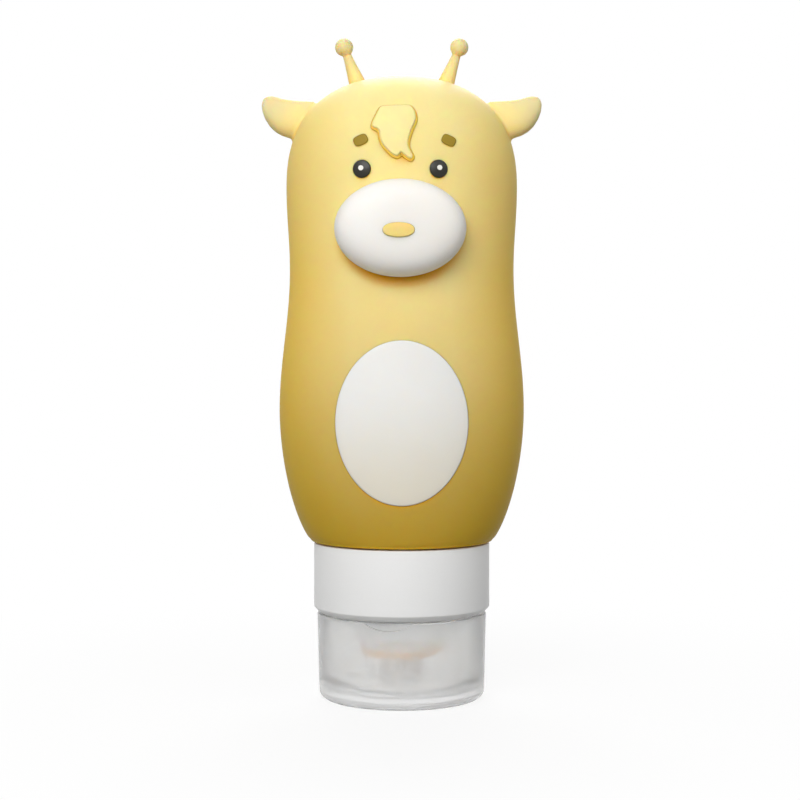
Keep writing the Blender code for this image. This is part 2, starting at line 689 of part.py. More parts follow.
def collar_inside():
    """Return the profile that hollows the collar: skirt, dome and nozzle bore."""
    dome_inner_z = DOME_FACE_Z + DOME_WALL
    return [
        (0.0, COLLAR_TOP_Z + OVERRUN), (SKIRT_INNER_RADIUS, COLLAR_TOP_Z + OVERRUN),
        (SKIRT_INNER_RADIUS, DECK_INNER_Z), (DOME_BASE_RADIUS - DOME_WALL, DECK_INNER_Z),
        (DOME_TOP_RADIUS - DOME_WALL, dome_inner_z + DOME_CORNER / 2),
        (DOME_TOP_RADIUS - DOME_WALL - DOME_CORNER / 2, dome_inner_z),
        (NOZZLE_BORE, dome_inner_z), (NOZZLE_BORE, NOZZLE_END_Z - OVERRUN), (0.0, NOZZLE_END_Z - OVERRUN),
    ]


def knuckle_round(start, end):
    """Return the round end of a lug or the knuckle, about the hinge axis."""
    return arc((HINGE_Y, HINGE_Z), KNUCKLE_RADIUS, start, end, ROUND_END_STEPS)


def make_collar():
    """Make the screw collar with its two hinge lugs and the recess for the lid's knuckle."""
    collar = turned("screw_collar", collar_outside(), CAP_STEPS)
    inner_y = LID_INNER_RADIUS - CLEARANCE
    lug_outline = knuckle_round(-180, 90) + [
        (COLLAR_RADIUS - COLLAR_CHAMFER_WIDTH, HINGE_Z + LUG_HEIGHT), (inner_y, HINGE_Z + LUG_HEIGHT),
        (inner_y, SEAM_Z), (HINGE_Y - KNUCKLE_RADIUS, SEAM_Z),
    ]
    near = KNUCKLE_WIDTH / 2 + CLEARANCE
    far = near + LUG_WIDTH
    inside = near - LUG_OVERLAP
    for side, low, high in (("left", -far, -inside), ("right", inside, far)):
        combine(collar, plate("lug_" + side, lug_outline, FACING_SIDE, low, high), "UNION")
    combine(collar, turned("collar_hollow", collar_inside(), CAP_STEPS), "DIFFERENCE")
    centre = (0.0, HINGE_Y, HINGE_Z)
    recess = cylinder("knuckle_recess", KNUCKLE_RADIUS + CLEARANCE, 2 * near, centre, (1, 0, 0), PIN_STEPS)
    combine(collar, recess, "DIFFERENCE")
    bore = cylinder("pin_bore", PIN_RADIUS + CLEARANCE, 2 * (far + OVERRUN), centre, (1, 0, 0), PIN_STEPS)
    combine(collar, bore, "DIFFERENCE")
    return collar


def make_valve():
    """Make the slit valve: a cup with a bead that grips the nozzle and a dished, slit face."""
    inner = NOZZLE_RADIUS + CLEARANCE
    outer = inner + VALVE_WALL
    top = DOME_FACE_Z - CLEARANCE
    floor = NOZZLE_END_Z - CLEARANCE
    bead = inner - NOZZLE_GROOVE_DEPTH
    bead_top = top - NOZZLE_GROOVE_SET_BACK
    bead_end = bead_top - NOZZLE_GROOVE_LENGTH / 2
    dish_inner = VALVE_DISH_RADIUS + VALVE_WALL
    valve = turned("drip_valve", [
        (0.0, floor + VALVE_DISH_DEPTH), (dish_inner * 2 / 3, floor + VALVE_DISH_DEPTH * 2 / 3),
        (dish_inner, floor), (inner, floor), (inner, bead_end), (bead, bead_end), (bead, bead_top),
        (inner, bead_top), (inner, top), (outer - VALVE_EDGE, top), (outer, top - VALVE_EDGE),
        (outer, VALVE_FACE_Z + VALVE_EDGE), (outer - VALVE_EDGE, VALVE_FACE_Z),
        (VALVE_DISH_RADIUS, VALVE_FACE_Z),
        (VALVE_DISH_RADIUS * 2 / 3, VALVE_FACE_Z + VALVE_DISH_DEPTH * 2 / 3),
        (0.0, VALVE_FACE_Z + VALVE_DISH_DEPTH),
    ], VALVE_STEPS)
    height = floor - VALVE_FACE_Z + VALVE_DISH_DEPTH + 2 * OVERRUN
    centre = (0.0, 0.0, VALVE_FACE_Z - OVERRUN + height / 2)
    across = block("slit_across", (SLIT_LENGTH, SLIT_WIDTH, height), centre)
    along = block("slit_along", (SLIT_WIDTH, SLIT_LENGTH, height), centre)
    combine(across, along, "UNION")
    combine(valve, across, "DIFFERENCE")
    return valve


# Flip-top lid

def lid_profile():
    """Return the lid's profile: floor, sealing ring, bowl, rim, wall and end face."""
    seal_end = VALVE_FACE_Z - CLEARANCE
    seal_inner = SEAL_RADIUS - SEAL_WALL
    bowl_radius = LID_END_RADIUS - LID_WALL
    bowl = (bowl_radius - LID_INNER_CORNER, LID_END_WALL + LID_INNER_CORNER)
    foot = (LID_END_RADIUS - LID_CORNER, LID_CORNER)
    return [
        (0.0, LID_END_WALL), (seal_inner, LID_END_WALL), (seal_inner, seal_end), (SEAL_RADIUS, seal_end),
        (SEAL_RADIUS, LID_END_WALL), *arc(bowl, LID_INNER_CORNER, -90, 0),
        (LID_INNER_RADIUS, LID_HEIGHT), (LID_RIM_RADIUS - LID_EDGE, LID_HEIGHT),
        (LID_RIM_RADIUS, LID_HEIGHT - LID_EDGE), *arc(foot, LID_CORNER, 0, -90), (0.0, 0.0),
    ]


def make_lid():
    """Make the flip-top lid with its thumb notch, knuckle and stub pins."""
    lid = turned("flip_lid", lid_profile(), CAP_STEPS)
    web_y = LID_RIM_RADIUS - LID_WALL / 2
    rim = HINGE_Z - CLEARANCE / 2
    rim_angle = 180 + math.degrees(math.asin(CLEARANCE / 2 / KNUCKLE_RADIUS))
    knuckle = plate("knuckle", knuckle_round(KNUCKLE_WEB_ANGLE, rim_angle) + [
        (web_y, rim), (web_y, rim - KNUCKLE_WEB_HEIGHT), (LID_RIM_RADIUS, rim - KNUCKLE_WEB_HEIGHT),
    ], FACING_SIDE, -KNUCKLE_WIDTH / 2, KNUCKLE_WIDTH / 2)
    combine(lid, knuckle, "UNION")
    pin_length = KNUCKLE_WIDTH + 2 * LUG_WIDTH
    pin = cylinder("pins", PIN_RADIUS, pin_length, (0.0, HINGE_Y, HINGE_Z), (1, 0, 0), PIN_STEPS)
    combine(lid, pin, "UNION")
    radius = (NOTCH_WIDTH ** 2 / 4 + NOTCH_DEPTH ** 2) / (2 * NOTCH_DEPTH)
    inner = LID_RIM_RADIUS - NOTCH_INSET
    centre = (0.0, -inner - radius / 2, LID_HEIGHT + radius - NOTCH_DEPTH)
    combine(lid, cylinder("thumb_notch", radius, radius, centre, (0, 1, 0)), "DIFFERENCE")
    return lid


# Assembly

def hang(piece, parent, place=(0.0, 0.0, 0.0)):
    """Parent a piece, and the tools that shape it, to an empty."""
    piece.parent = parent
    piece.location = place
    for step in piece.modifiers:
        if step.type == "BOOLEAN" and step.object.parent is None:
            hang(step.object, parent, place)


def make_empty(name, place, parent=None):
    """Make an empty that marks an axis."""
    empty = add_object(name, None, PARTS)
    empty.location = place
    empty.parent = parent
    return empty


def assemble_cap():
    """Make the cap about its own axis, turn it, and hang the lid on its hinge."""
    collar_axis = make_empty("collar_axis", (0.0, 0.0, 0.0))
    collar_axis.rotation_euler.z = CAP_TURN
    hinge_axis = make_empty("lid_hinge_axis", (0.0, HINGE_Y, HINGE_Z), collar_axis)
    pieces = {"screw_collar": make_collar(), "drip_valve": make_valve()}
    for piece in pieces.values():
        hang(piece, collar_axis)
    pieces["flip_lid"] = make_lid()
    hang(pieces["flip_lid"], hinge_axis, (0.0, -HINGE_Y, -HINGE_Z))
    return pieces


def main():
    """Build the bottle."""
    pieces = {"bottle_body": make_body(), "muzzle": make_muzzle()}
    pieces.update(make_face(pieces["bottle_body"], pieces["muzzle"]))
    pieces.update({"neck_ring": make_neck(), "gasket": make_gasket()})
    pieces.update(assemble_cap())
    finishes = {
        "yellow_silicone": ("#ecd06f", 0.62, ("bottle_body",)),
        "white_silicone": ("#f4f0e8", 0.60, ("muzzle", "belly_patch")),
        "pale_silicone": ("#fdeaa6", 0.60, ("forelock",)),
        "orange_silicone": ("#ffd98a", 0.60, ("nose",)),
        "black_silicone": ("#2b2a22", 0.40, ("eye_left", "eye_right")),
        "brown_silicone": ("#8f7c38", 0.60, ("brow_left", "brow_right")),
        "clear_silicone": ("#dcdad2", 0.50, ("gasket",)),
        "valve_silicone": ("#e9b877", 0.50, ("drip_valve",)),
        "white_polypropylene": ("#efefee", 0.45, ("screw_collar", "neck_ring")),
        "frosted_polypropylene": ("#dedede", 0.40, ("flip_lid",)),
    }
    for name, (colour, roughness, owners) in finishes.items():
        material = make_material(name, colour, roughness)
        for owner in owners:
            finish(pieces[owner], material)
    for form in FORMS.values():
        if form.name in PARTS.objects:
            bpy.data.objects.remove(form, do_unlink=True)


clear_scene()
PARTS = make_collection("travel_bottle")
TOOLS = make_collection("cutters")
FORMS = {}
main()
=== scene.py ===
"""Dress the giraffe travel bottle: fine surfaces, finishes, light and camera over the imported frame.

Lengths are in metres, +Z is up and the face looks along -Y, as in the frame. The bottle stands head up
on its closed flip-top lid.
"""
from __future__ import annotations

import logging
import math
from dataclasses import dataclass, field
from enum import Enum
from typing import Callable, Iterable, Sequence

import bmesh
import bpy
from mathutils import Matrix, Vector
from mathutils.bvhtree import BVHTree


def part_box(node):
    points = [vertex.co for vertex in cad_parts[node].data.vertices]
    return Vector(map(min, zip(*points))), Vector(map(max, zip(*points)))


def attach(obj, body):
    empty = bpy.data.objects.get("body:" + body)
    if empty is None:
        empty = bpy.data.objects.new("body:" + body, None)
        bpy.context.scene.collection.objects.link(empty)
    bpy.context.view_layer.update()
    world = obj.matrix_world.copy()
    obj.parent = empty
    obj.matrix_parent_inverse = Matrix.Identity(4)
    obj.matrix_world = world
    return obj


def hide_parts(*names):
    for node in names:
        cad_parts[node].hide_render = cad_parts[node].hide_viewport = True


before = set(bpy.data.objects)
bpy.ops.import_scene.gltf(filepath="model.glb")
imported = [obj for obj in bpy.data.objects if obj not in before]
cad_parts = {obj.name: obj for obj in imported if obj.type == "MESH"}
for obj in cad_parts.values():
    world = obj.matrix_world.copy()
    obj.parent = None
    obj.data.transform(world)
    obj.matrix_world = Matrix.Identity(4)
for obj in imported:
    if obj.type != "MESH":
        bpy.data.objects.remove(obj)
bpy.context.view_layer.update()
LOG = logging.getLogger("travel_bottle")

MM = 0.001
WHITE_LIGHT = (1.0, 1.0, 1.0, 1.0)

# Points nearer than this are one point
WELD = 0.001 * MM

# Play between two pieces that move on each other
GAP = 0.3 * MM

# How far a cutter reaches past what it cuts
OVERRUN = 1.0 * MM

# An edge whose faces turn more than this is drawn crisp
SHARP_ANGLE = math.radians(42.0)

# Nearly all values of a noise texture lie between these
NOISE_LEVELS = (0.3, 0.7)

# A curved surface is read no nearer than this to its outline, where it would stand edge on
NEAR_RIM_SHARE = 0.999

Flat = tuple[float, float]
Triple = tuple[float, float, float]
Outline = list[Flat]
Front = Callable[[float, float], Vector]
Ring = tuple[list[Vector], Vector]
Mesh = bpy.types.Mesh
Tree = bpy.types.NodeTree
Socket = bpy.types.NodeSocket


class Cut(Enum):
    """How one closed shape works on another."""

    JOIN = "UNION"
    REMOVE = "DIFFERENCE"


# Colours and nodes

def linear(colour: str) -> tuple[float, float, float, float]:
    """Turn an sRGB hex colour into linear red, green, blue and alpha.

    Args:
        colour: Six hex digits after a hash sign.

    Returns:
        The four linear channels, with an alpha of 1.
    """
    channels = [int(colour[i:i + 2], 16) / 255 for i in (1, 3, 5)]
    red, green, blue = (c / 12.92 if c <= 0.04045 else ((c + 0.055) / 1.055) ** 2.4 for c in channels)
    return red, green, blue, 1.0


def add_node(tree: Tree, kind: str, inputs: dict | None = None,
             **settings: object) -> bpy.types.Node:
    """Add a node, set its properties, and set or link its inputs.

    Args:
        tree: The node tree that takes the node.
        kind: The node's type name.
        inputs: Values, or output sockets to link, by input name or number.
        settings: Properties of the node itself.

    Returns:
        The new node.
    """
    node = tree.nodes.new(kind)
    for name, value in settings.items():
        setattr(node, name, value)
    for name, value in (inputs or {}).items():
        if isinstance(value, Socket):
            tree.links.new(value, node.inputs[name])
        else:
            node.inputs[name].default_value = value
    return node


def per_metre(size_mm: float) -> float:
    """Return the scale of a pattern whose features are a size in millimetres."""
    return 1.0 / (size_mm * MM)


def empty_material(name: str) -> tuple[bpy.types.Material, Tree]:
    """Make a material that uses nodes and has none yet.

    Args:
        name: What the material is: its common name and how it was made.

    Returns:
        The material and its node tree.
    """
    material = bpy.data.materials.new(name)
    material.use_nodes = True
    material.node_tree.nodes.clear()
    return material, material.node_tree


# Finishes

@dataclass(frozen=True)
class Silicone:
    """Liquid silicone rubber, moulded against a fine spark-eroded steel face.

    It looks dry and velvety, and glows a little where light gets in. Painted shade deepens its flanks, less
    so at the head, and darkens it low down and, amber, in the nooks below other pieces; a painted glow
    pales its thin ends. On the valve the low band is the orange dye of its face.
    """

    name: str
    colour: str
    deep_colour: str
    roughness: float = 0.5
    roughness_spread: Flat = (-0.05, 0.06)
    refraction: float = 1.41
    specular_share: float = 0.15
    glow_share: float = 0.8
    glow_mm: float = 0.8
    glow_shares: Triple = (1.0, 0.5, 0.12)

    # The real grain is about 0.05 mm wide and wouldn't show, so it is drawn nine times as coarse
    grain_mm: float = 0.45
    grain_depth_mm: float = 0.012
    grain_strength: float = 0.6

    # Pigment is never stirred in quite evenly: slow clouds of a slightly deeper tone
    cloud_mm: float = 14.0
    cloud_levels: Flat = (0.35, 0.7)
    cloud_share: float = 0.35

    # Where each further colour shows: painted shade on the flanks, low down and in nooks, a painted glow at
    # thin ends, and a low band of dye on the valve; heights are those above the floor
    flank_painted_shade: str = ""
    flank_facing: Flat = (0.35, 1.0)
    flank_share: float = 0.85
    flank_mm: Flat = (85.0, 125.0)
    flank_head_share: float = 0.5
    low_painted_shade_and_dye: str = ""
    low_mm: Flat = (0.0, 1.0)
    thin_painted_glow: str = ""
    thin_mm: Flat = (27.0, 34.0)
    thin_centre_mm: float = 100.0
    # Painted shade under overhangs: the occlusion looks along a normal leaned up, so only covered places
    # darken
    nook_painted_shade: str = ""
    nook_mm: float = 2.6
    nook_lean: float = 0.9
    nook_openness: Flat = (0.78, 0.42)

    def flank_painted_shade_amount(self, tree: Tree, places: bpy.types.NodeOutputs) -> Socket:
        """Measure the painted shade on the flanks: how far the skin looks sideways, with less of it at the
        head.

        Args:
            tree: The material's node tree.
            places: The outputs of its texture coordinates.

        Returns:
            The amount of the flanks' painted shade.
        """
        facing = add_node(tree, "ShaderNodeSeparateXYZ", {"Vector": places["Normal"]}).outputs["X"]
        aside = add_node(tree, "ShaderNodeMath", {0: facing}, operation="ABSOLUTE")
        flank = add_node(tree, "ShaderNodeMapRange", {
            "Value": aside.outputs[0], "From Min": self.flank_facing[0], "From Max": self.flank_facing[1],
            "To Max": self.flank_share})
        height = add_node(tree, "ShaderNodeSeparateXYZ", {"Vector": places["Object"]}).outputs["Z"]
        gain = add_node(tree, "ShaderNodeMapRange", {
            "Value": height, "From Min": self.flank_mm[1] * MM, "From Max": self.flank_mm[0] * MM,
            "To Min": self.flank_head_share, "To Max": 1.0})
        return add_node(tree, "ShaderNodeMath", {
            0: flank.outputs[0], 1: gain.outputs[0]}, operation="MULTIPLY").outputs[0]

    def low_shade_and_dye_amount(self, tree: Tree, places: bpy.types.NodeOutputs) -> Socket:
        """Measure how low a place lies, for the low band: painted shade on most pieces, the orange dye of
        the valve's face.

        Args:
            tree: The material's node tree.
            places: The outputs of its texture coordinates.

        Returns:
            The amount of the low band's painted shade and dye.
        """
        height = add_node(tree, "ShaderNodeSeparateXYZ", {"Vector": places["Object"]}).outputs["Z"]
        return add_node(tree, "ShaderNodeMapRange", {
            "Value": height, "From Min": self.low_mm[1] * MM, "From Max": self.low_mm[0] * MM},
            interpolation_type="SMOOTHSTEP").outputs[0]

    def thin_painted_glow_amount(self, tree: Tree, places: bpy.types.NodeOutputs) -> Socket:
        """Measure how far out and up from the head a place lies, as the ends of ears and horns do, for
        their painted glow.

        Args:
            tree: The material's node tree.
            places: The outputs of its texture coordinates.

        Returns:
            The amount of the thin ends' painted glow.
        """
        out = add_node(tree, "ShaderNodeVectorMath", {
            0: places["Object"], 1: (0.0, 0.0, self.thin_centre_mm * MM)}, operation="SUBTRACT")
        upper = add_node(tree, "ShaderNodeVectorMath", {
            0: out.outputs[0], 1: (-1.0, -1.0, 0.0)}, operation="MAXIMUM")
        away = add_node(tree, "ShaderNodeVectorMath", {0: upper.outputs[0]}, operation="LENGTH")
        return add_node(tree, "ShaderNodeMapRange", {
            "Value": away.outputs["Value"], "From Min": self.thin_mm[0] * MM,
            "From Max": self.thin_mm[1] * MM}, interpolation_type="SMOOTHSTEP").outputs[0]

    def nook_painted_shade_amount(self, tree: Tree, places: bpy.types.NodeOutputs) -> Socket:
        """Measure how far other rubber covers a place from above, for the painted shade under it.

        Args:
            tree: The material's node tree.
            places: The outputs of its texture coordinates.

        Returns:
            The amount of the nooks' painted shade.
        """
        lean = add_node(tree, "ShaderNodeVectorMath", {
            0: places["Normal"], 1: (0.0, 0.0, self.nook_lean)}, operation="ADD")
        upward = add_node(tree, "ShaderNodeVectorMath", {0: lean.outputs[0]}, operation="NORMALIZE")
        open_sky = add_node(tree, "ShaderNodeAmbientOcclusion", {
            "Distance": self.nook_mm * MM, "Normal": upward.outputs[0]}, samples=8)
        return add_node(tree, "ShaderNodeMapRange", {
            "Value": open_sky.outputs["AO"], "From Min": self.nook_openness[0],
            "From Max": self.nook_openness[1]}).outputs[0]

    def build(self) -> bpy.types.Material:
        """Make the material: a tint with dye, painted shade and painted glow laid over it, a fine grain in
        its gloss and its surface, and the glow.

        Returns:
            The material.
        """
        material, tree = empty_material(self.name)
        places = add_node(tree, "ShaderNodeTexCoord").outputs
        cloud = add_node(tree, "ShaderNodeTexNoise", {
            "Vector": places["Object"], "Scale": per_metre(self.cloud_mm), "Detail": 2.0,
            "Roughness": 0.45})
        depth = add_node(tree, "ShaderNodeMapRange", {
            "Value": cloud.outputs["Fac"], "From Min": self.cloud_levels[0],
            "From Max": self.cloud_levels[1], "To Max": self.cloud_share})
        tint_with_painted_light = add_node(tree, "ShaderNodeMix", {
            0: depth.outputs[0], 6: linear(self.colour), 7: linear(self.deep_colour)}, data_type="RGBA")
        layers = ((self.flank_painted_shade, self.flank_painted_shade_amount), (self.low_painted_shade_and_dye, self.low_shade_and_dye_amount),
                  (self.thin_painted_glow, self.thin_painted_glow_amount), (self.nook_painted_shade, self.nook_painted_shade_amount))
        for colour, amount in layers:
            if colour:
                tint_with_painted_light = add_node(tree, "ShaderNodeMix", {
                    0: amount(tree, places), 6: tint_with_painted_light.outputs[2], 7: linear(colour)}, data_type="RGBA")
        grain = add_node(tree, "ShaderNodeTexNoise", {
            "Vector": places["Object"], "Scale": per_metre(self.grain_mm), "Detail": 3.0, "Roughness": 0.6})
        smoother, rougher = self.roughness_spread
        gloss = add_node(tree, "ShaderNodeMapRange", {
            "Value": grain.outputs["Fac"], "From Min": NOISE_LEVELS[0], "From Max": NOISE_LEVELS[1],
            "To Min": self.roughness + smoother, "To Max": self.roughness + rougher})
        relief = add_node(tree, "ShaderNodeBump", {
            "Strength": self.grain_strength, "Distance": self.grain_depth_mm * MM,
            "Height": grain.outputs["Fac"]})
        shader = add_node(tree, "ShaderNodeBsdfPrincipled", {
            "Base Color": tint_with_painted_light.outputs[2], "Roughness": gloss.outputs[0], "Normal": relief.outputs[0],
            "IOR": self.refraction, "Specular IOR Level": self.specular_share,
            "Subsurface Weight": self.glow_share, "Subsurface Radius": self.glow_shares,
            "Subsurface Scale": self.glow_mm * MM})
        add_node(tree, "ShaderNodeOutputMaterial", {"Surface": shader.outputs[0]})
        return material


@dataclass(frozen=True)
class Polypropylene:
    """Injection-moulded polypropylene with a satin tool finish: waxy, faintly wavy, its highlights soft."""

    name: str
    colour: str
    clear_share: float = 0.0
    roughness: float = 0.38
    roughness_spread: float = 0.04
    refraction: float = 1.49
    specular_share: float = 0.3
    haze_share: float = 0.12
    haze_mm: float = 1.6
    haze_shares: Triple = (1.0, 0.95, 0.9)
    wave_mm: float = 5.0
    wave_depth_mm: float = 0.02

    # The tool's satin grain is about 0.03 mm wide and wouldn't show, so it is drawn ten times as coarse
    grain_mm: float = 0.3
    grain_depth_mm: float = 0.004
    grain_dark_share: float = 0.97
    relief_strength: float = 0.5

    def build(self) -> bpy.types.Material:
        """Make the material: slow waves from the mould, a fine grain, and see-through plastic if asked.

        Returns:
            The material.
        """
        material, tree = empty_material(self.name)
        place = add_node(tree, "ShaderNodeTexCoord").outputs["Object"]
        wave = add_node(tree, "ShaderNodeTexNoise", {
            "Vector": place, "Scale": per_metre(self.wave_mm), "Detail": 1.0})
        grain = add_node(tree, "ShaderNodeTexNoise", {
            "Vector": place, "Scale": per_metre(self.grain_mm), "Detail": 2.0})
        gloss = add_node(tree, "ShaderNodeMapRange", {
            "Value": wave.outputs["Fac"], "From Min": NOISE_LEVELS[0], "From Max": NOISE_LEVELS[1],
            "To Min": self.roughness - self.roughness_spread,
            "To Max": self.roughness + self.roughness_spread})
        slow = add_node(tree, "ShaderNodeBump", {
            "Strength": self.relief_strength, "Distance": self.wave_depth_mm * MM,
            "Height": wave.outputs["Fac"]})
        relief = add_node(tree, "ShaderNodeBump", {
            "Strength": self.relief_strength, "Distance": self.grain_depth_mm * MM,
            "Height": grain.outputs["Fac"], "Normal": slow.outputs[0]})
        bright = linear(self.colour)
        dark = [channel * self.grain_dark_share for channel in bright[:3]] + [1.0]
        tint = add_node(tree, "ShaderNodeMix", {
            0: grain.outputs["Fac"], 6: bright, 7: dark}, data_type="RGBA")
        shader = add_node(tree, "ShaderNodeBsdfPrincipled", {
            "Base Color": tint.outputs[2], "Roughness": gloss.outputs[0], "Normal": relief.outputs[0],
            "IOR": self.refraction, "Specular IOR Level": self.specular_share,
            "Transmission Weight": self.clear_share, "Subsurface Weight": self.haze_share,
            "Subsurface Scale": self.haze_mm * MM, "Subsurface Radius": self.haze_shares})
        add_node(tree, "ShaderNodeOutputMaterial", {"Surface": shader.outputs[0]})
        return material


# The body: butter yellow, with painted shade deepening it to old gold at its sides and towards its foot,
# painted amber shade in the nooks under other pieces, and a painted glow paling the ends of ears and horns
YELLOW = Silicone("moulded_silicone_yellow_painted_shade", "#f8e5a0", "#f6de8e", flank_painted_shade="#f2c124",
                  low_painted_shade_and_dye="#ba9616", low_mm=(20.0, 96.0), thin_painted_glow="#e9dca4",
                  nook_painted_shade="#f0a800", nook_mm=3.4, specular_share=0.1)
# The forelock's foot: painted amber shade, seen as a thin line round the lock and mostly below it
PAINTED_SHADE_AMBER = Silicone("moulded_silicone_amber_painted_shade", "#f6cc58", "#f2c24a", glow_mm=0.3)
# Muzzle and belly: light goes far into white rubber, so it looks soft; painted shade makes it creamy low
# down and olive grey in its nooks
WHITE = Silicone("moulded_silicone_white_painted_shade", "#f6f3ee", "#efeae1", glow_share=0.4, glow_mm=2.0,
                 glow_shares=(1.0, 0.8, 0.6), low_painted_shade_and_dye="#e4dccb", low_mm=(38.0, 66.0),
                 nook_painted_shade="#a89c68", nook_mm=2.0)
# The nose: a warm apricot spot on the white muzzle
ORANGE = Silicone("moulded_silicone_orange", "#ffe090", "#fbd278", glow_mm=0.3)
# The forelock: paler than the head, so that it stands out without a line
PALE = Silicone("moulded_silicone_pale", "#fbe9a8", "#fae39c", glow_mm=0.3)
# The eyes: carbon-black rubber takes all light and shows only a small soft highlight
BLACK = Silicone("moulded_silicone_black", "#1d1b14", "#15130d", roughness=0.4, glow_share=0.0,
                 specular_share=0.5)
# The brows: flat olive brown, drier than the eyes
BROWN = Silicone("moulded_silicone_brown", "#a0862f", "#907626", glow_share=0.1)
# The gasket: unpigmented rubber, milky grey and a little glossier
CLEAR = Silicone("moulded_silicone_clear", "#dcdad2", "#d2d0c6", roughness=0.35)
# The valve: milky rubber with an orange face, the faint orange arc behind the lid
VALVE = Silicone("moulded_silicone_valve", "#ece4d8", "#e6dccd", roughness=0.4, low_painted_shade_and_dye="#f2b03c",
                 low_mm=(10.1, 10.4))
# The glints: dull white ink, pad printed, so the eyes look alive from every side
GLINT = Silicone("pad_printed_white", "#f4f2ea", "#ece9df", roughness=0.45, glow_share=0.0)
# Neck and collar: clean neutral white, a touch waxy
WHITE_PLASTIC = Polypropylene("moulded_polypropylene_white", "#f0f0ef")
# The lid: see-through and misty, so the nozzle shows as a soft shape. A roughness that crosses 0.27 comes
# out in blotches when the picture is cleaned of noise, so it stays below that
FROSTED_PLASTIC = Polypropylene("moulded_polypropylene_frosted", "#fcfcfb", clear_share=0.7, roughness=0.21,
                                roughness_spread=0.02, haze_share=0.8, wave_depth_mm=0.0)


# Outlines and profiles, as lists of points in a plane

def arc(centre: Flat, radius: float, start: float, end: float, steps: int = 12) -> Outline:
    """Return points along a circular arc, from one angle in degrees to another."""
    angles = [math.radians(start + (end - start) * i / steps) for i in range(steps + 1)]
    return [(centre[0] + radius * math.cos(a), centre[1] + radius * math.sin(a)) for a in angles]


def oval(centre: Flat, size: Flat, power: float = 2.0, tilt: float = 0.0, steps: int = 72) -> Outline:
    """Draw a closed superellipse, counterclockwise.

    Args:
        centre: Its middle.
        size: Its full width and height.
        power: 2 for an ellipse, more for a squarer form.
        tilt: Its turn in radians.
        steps: How many points it has.

    Returns:
        The outline's points.
    """
    points = []
    for i in range(steps):
        angle = 2 * math.pi * i / steps
        x = size[0] / 2 * math.copysign(abs(math.cos(angle)) ** (2 / power), math.cos(angle))
        y = size[1] / 2 * math.copysign(abs(math.sin(angle)) ** (2 / power), math.sin(angle))
        points.append((centre[0] + x * math.cos(tilt) - y * math.sin(tilt),
                       centre[1] + x * math.sin(tilt) + y * math.cos(tilt)))
    return points


def rounded(points: Outline, radius: float, steps: int = 4, closed: bool = False) -> Outline:
    """Round the corners of a line of points, each within half of its shorter side.

    Args:
        points: The corners, in order.
        radius: How far before and after a corner its curve runs.
        steps: How many straight pieces each curve has.
        closed: Whether the last point joins the first.

    Returns:
        The rounded line.
    """
    result = [] if closed else [points[0]]
    last = len(points)
    for i in range(0 if closed else 1, last if closed else last - 1):
        corner, before, after = (Vector(points[j % last]) for j in (i, i - 1, i + 1))
        back, ahead = before - corner, after - corner
        # A little less than half of each side, so that two curves never meet
        reach = min(radius, back.length / 2.05, ahead.length / 2.05)
        start, end = corner + back.normalized() * reach, corner + ahead.normalized() * reach
        for j in range(steps + 1):
            share = j / steps
            result.append(tuple(start.lerp(corner, share).lerp(corner.lerp(end, share), share)))
    return result if closed else result + [points[-1]]


def smooth_loop(points: Outline, steps: int) -> Outline:
    """Draw a closed curve that runs smoothly through a few points.

    Args:
        points: The points that it passes, in order.
        steps: How many even steps it is cut into.

    Returns:
        The curve's points.
    """
    count, parts = len(points), 8
    curve = []
    for i in range(count):
        p0, p1, p2, p3 = (Vector(points[(i + j) % count]) for j in (-1, 0, 1, 2))
        for j in range(parts):
            t = j / parts
            curve.append((2 * p1 + (p2 - p0) * t + (2 * p0 - 5 * p1 + 4 * p2 - p3) * t * t
                          + (3 * p1 - p0 - 3 * p2 + p3) * t ** 3) / 2)
    lengths = [(curve[i] - curve[i - 1]).length for i in range(len(curve))]
    total, result, walked, i = sum(lengths), [], 0.0, 0
    for k in range(steps):
        goal = total * k / steps
        while walked + lengths[(i + 1) % len(curve)] < goal:
            i += 1
            walked += lengths[i % len(curve)]
        share = (goal - walked) / lengths[(i + 1) % len(curve)]
        result.append(tuple(curve[i % len(curve)].lerp(curve[(i + 1) % len(curve)], share)))
    return result


def grown(outline: Outline, distance: float) -> Outline:
    """Move all sides of a counterclockwise outline outwards.

    Args:
        outline: Its corners.
        distance: How far out they go; less than zero draws them in.

    Returns:
        The new outline, with as many corners.
    """
    sharpest_share = 0.6
    result = []
    for i, point in enumerate(outline):
        here = Vector(point)
        before = (here - Vector(outline[i - 1])).normalized()
        after = (Vector(outline[(i + 1) % len(outline)]) - here).normalized()
        normal = Vector((before.y + after.y, -before.x - after.x)).normalized()
        square = max(normal.dot(Vector((before.y, -before.x))), sharpest_share)
        result.append(tuple(here + normal * distance / square))
    return result


# Meshes

def closed_mesh(shape: bmesh.types.BMesh, name: str) -> Mesh:
    """Weld a shape and turn its faces outwards.

    Args:
        shape: The shape, which is freed.
        name: The mesh's name.

    Returns:
        The shape as a mesh.
    """
    bmesh.ops.remove_doubles(shape, verts=shape.verts, dist=WELD)
    bmesh.ops.recalc_face_normals(shape, faces=shape.faces)
    mesh = bpy.data.meshes.new(name)
    shape.to_mesh(mesh)
    shape.free()
    return mesh


def bevel_rims(shape: bmesh.types.BMesh, axis: int, edge: float) -> None:
    """Bevel the edges that lie square to an axis.

    Args:
        shape: A straight shape along the axis.
        axis: 0 for X, 2 for Z.
        edge: Width of the bevel, or 0 for none.
    """
    if edge:
        rims = [e for e in shape.edges if abs(e.verts[0].co[axis] - e.verts[1].co[axis]) < WELD]
        bmesh.ops.bevel(shape, geom=rims, offset=edge, segments=3, profile=0.5, material=-1, affect="EDGES")


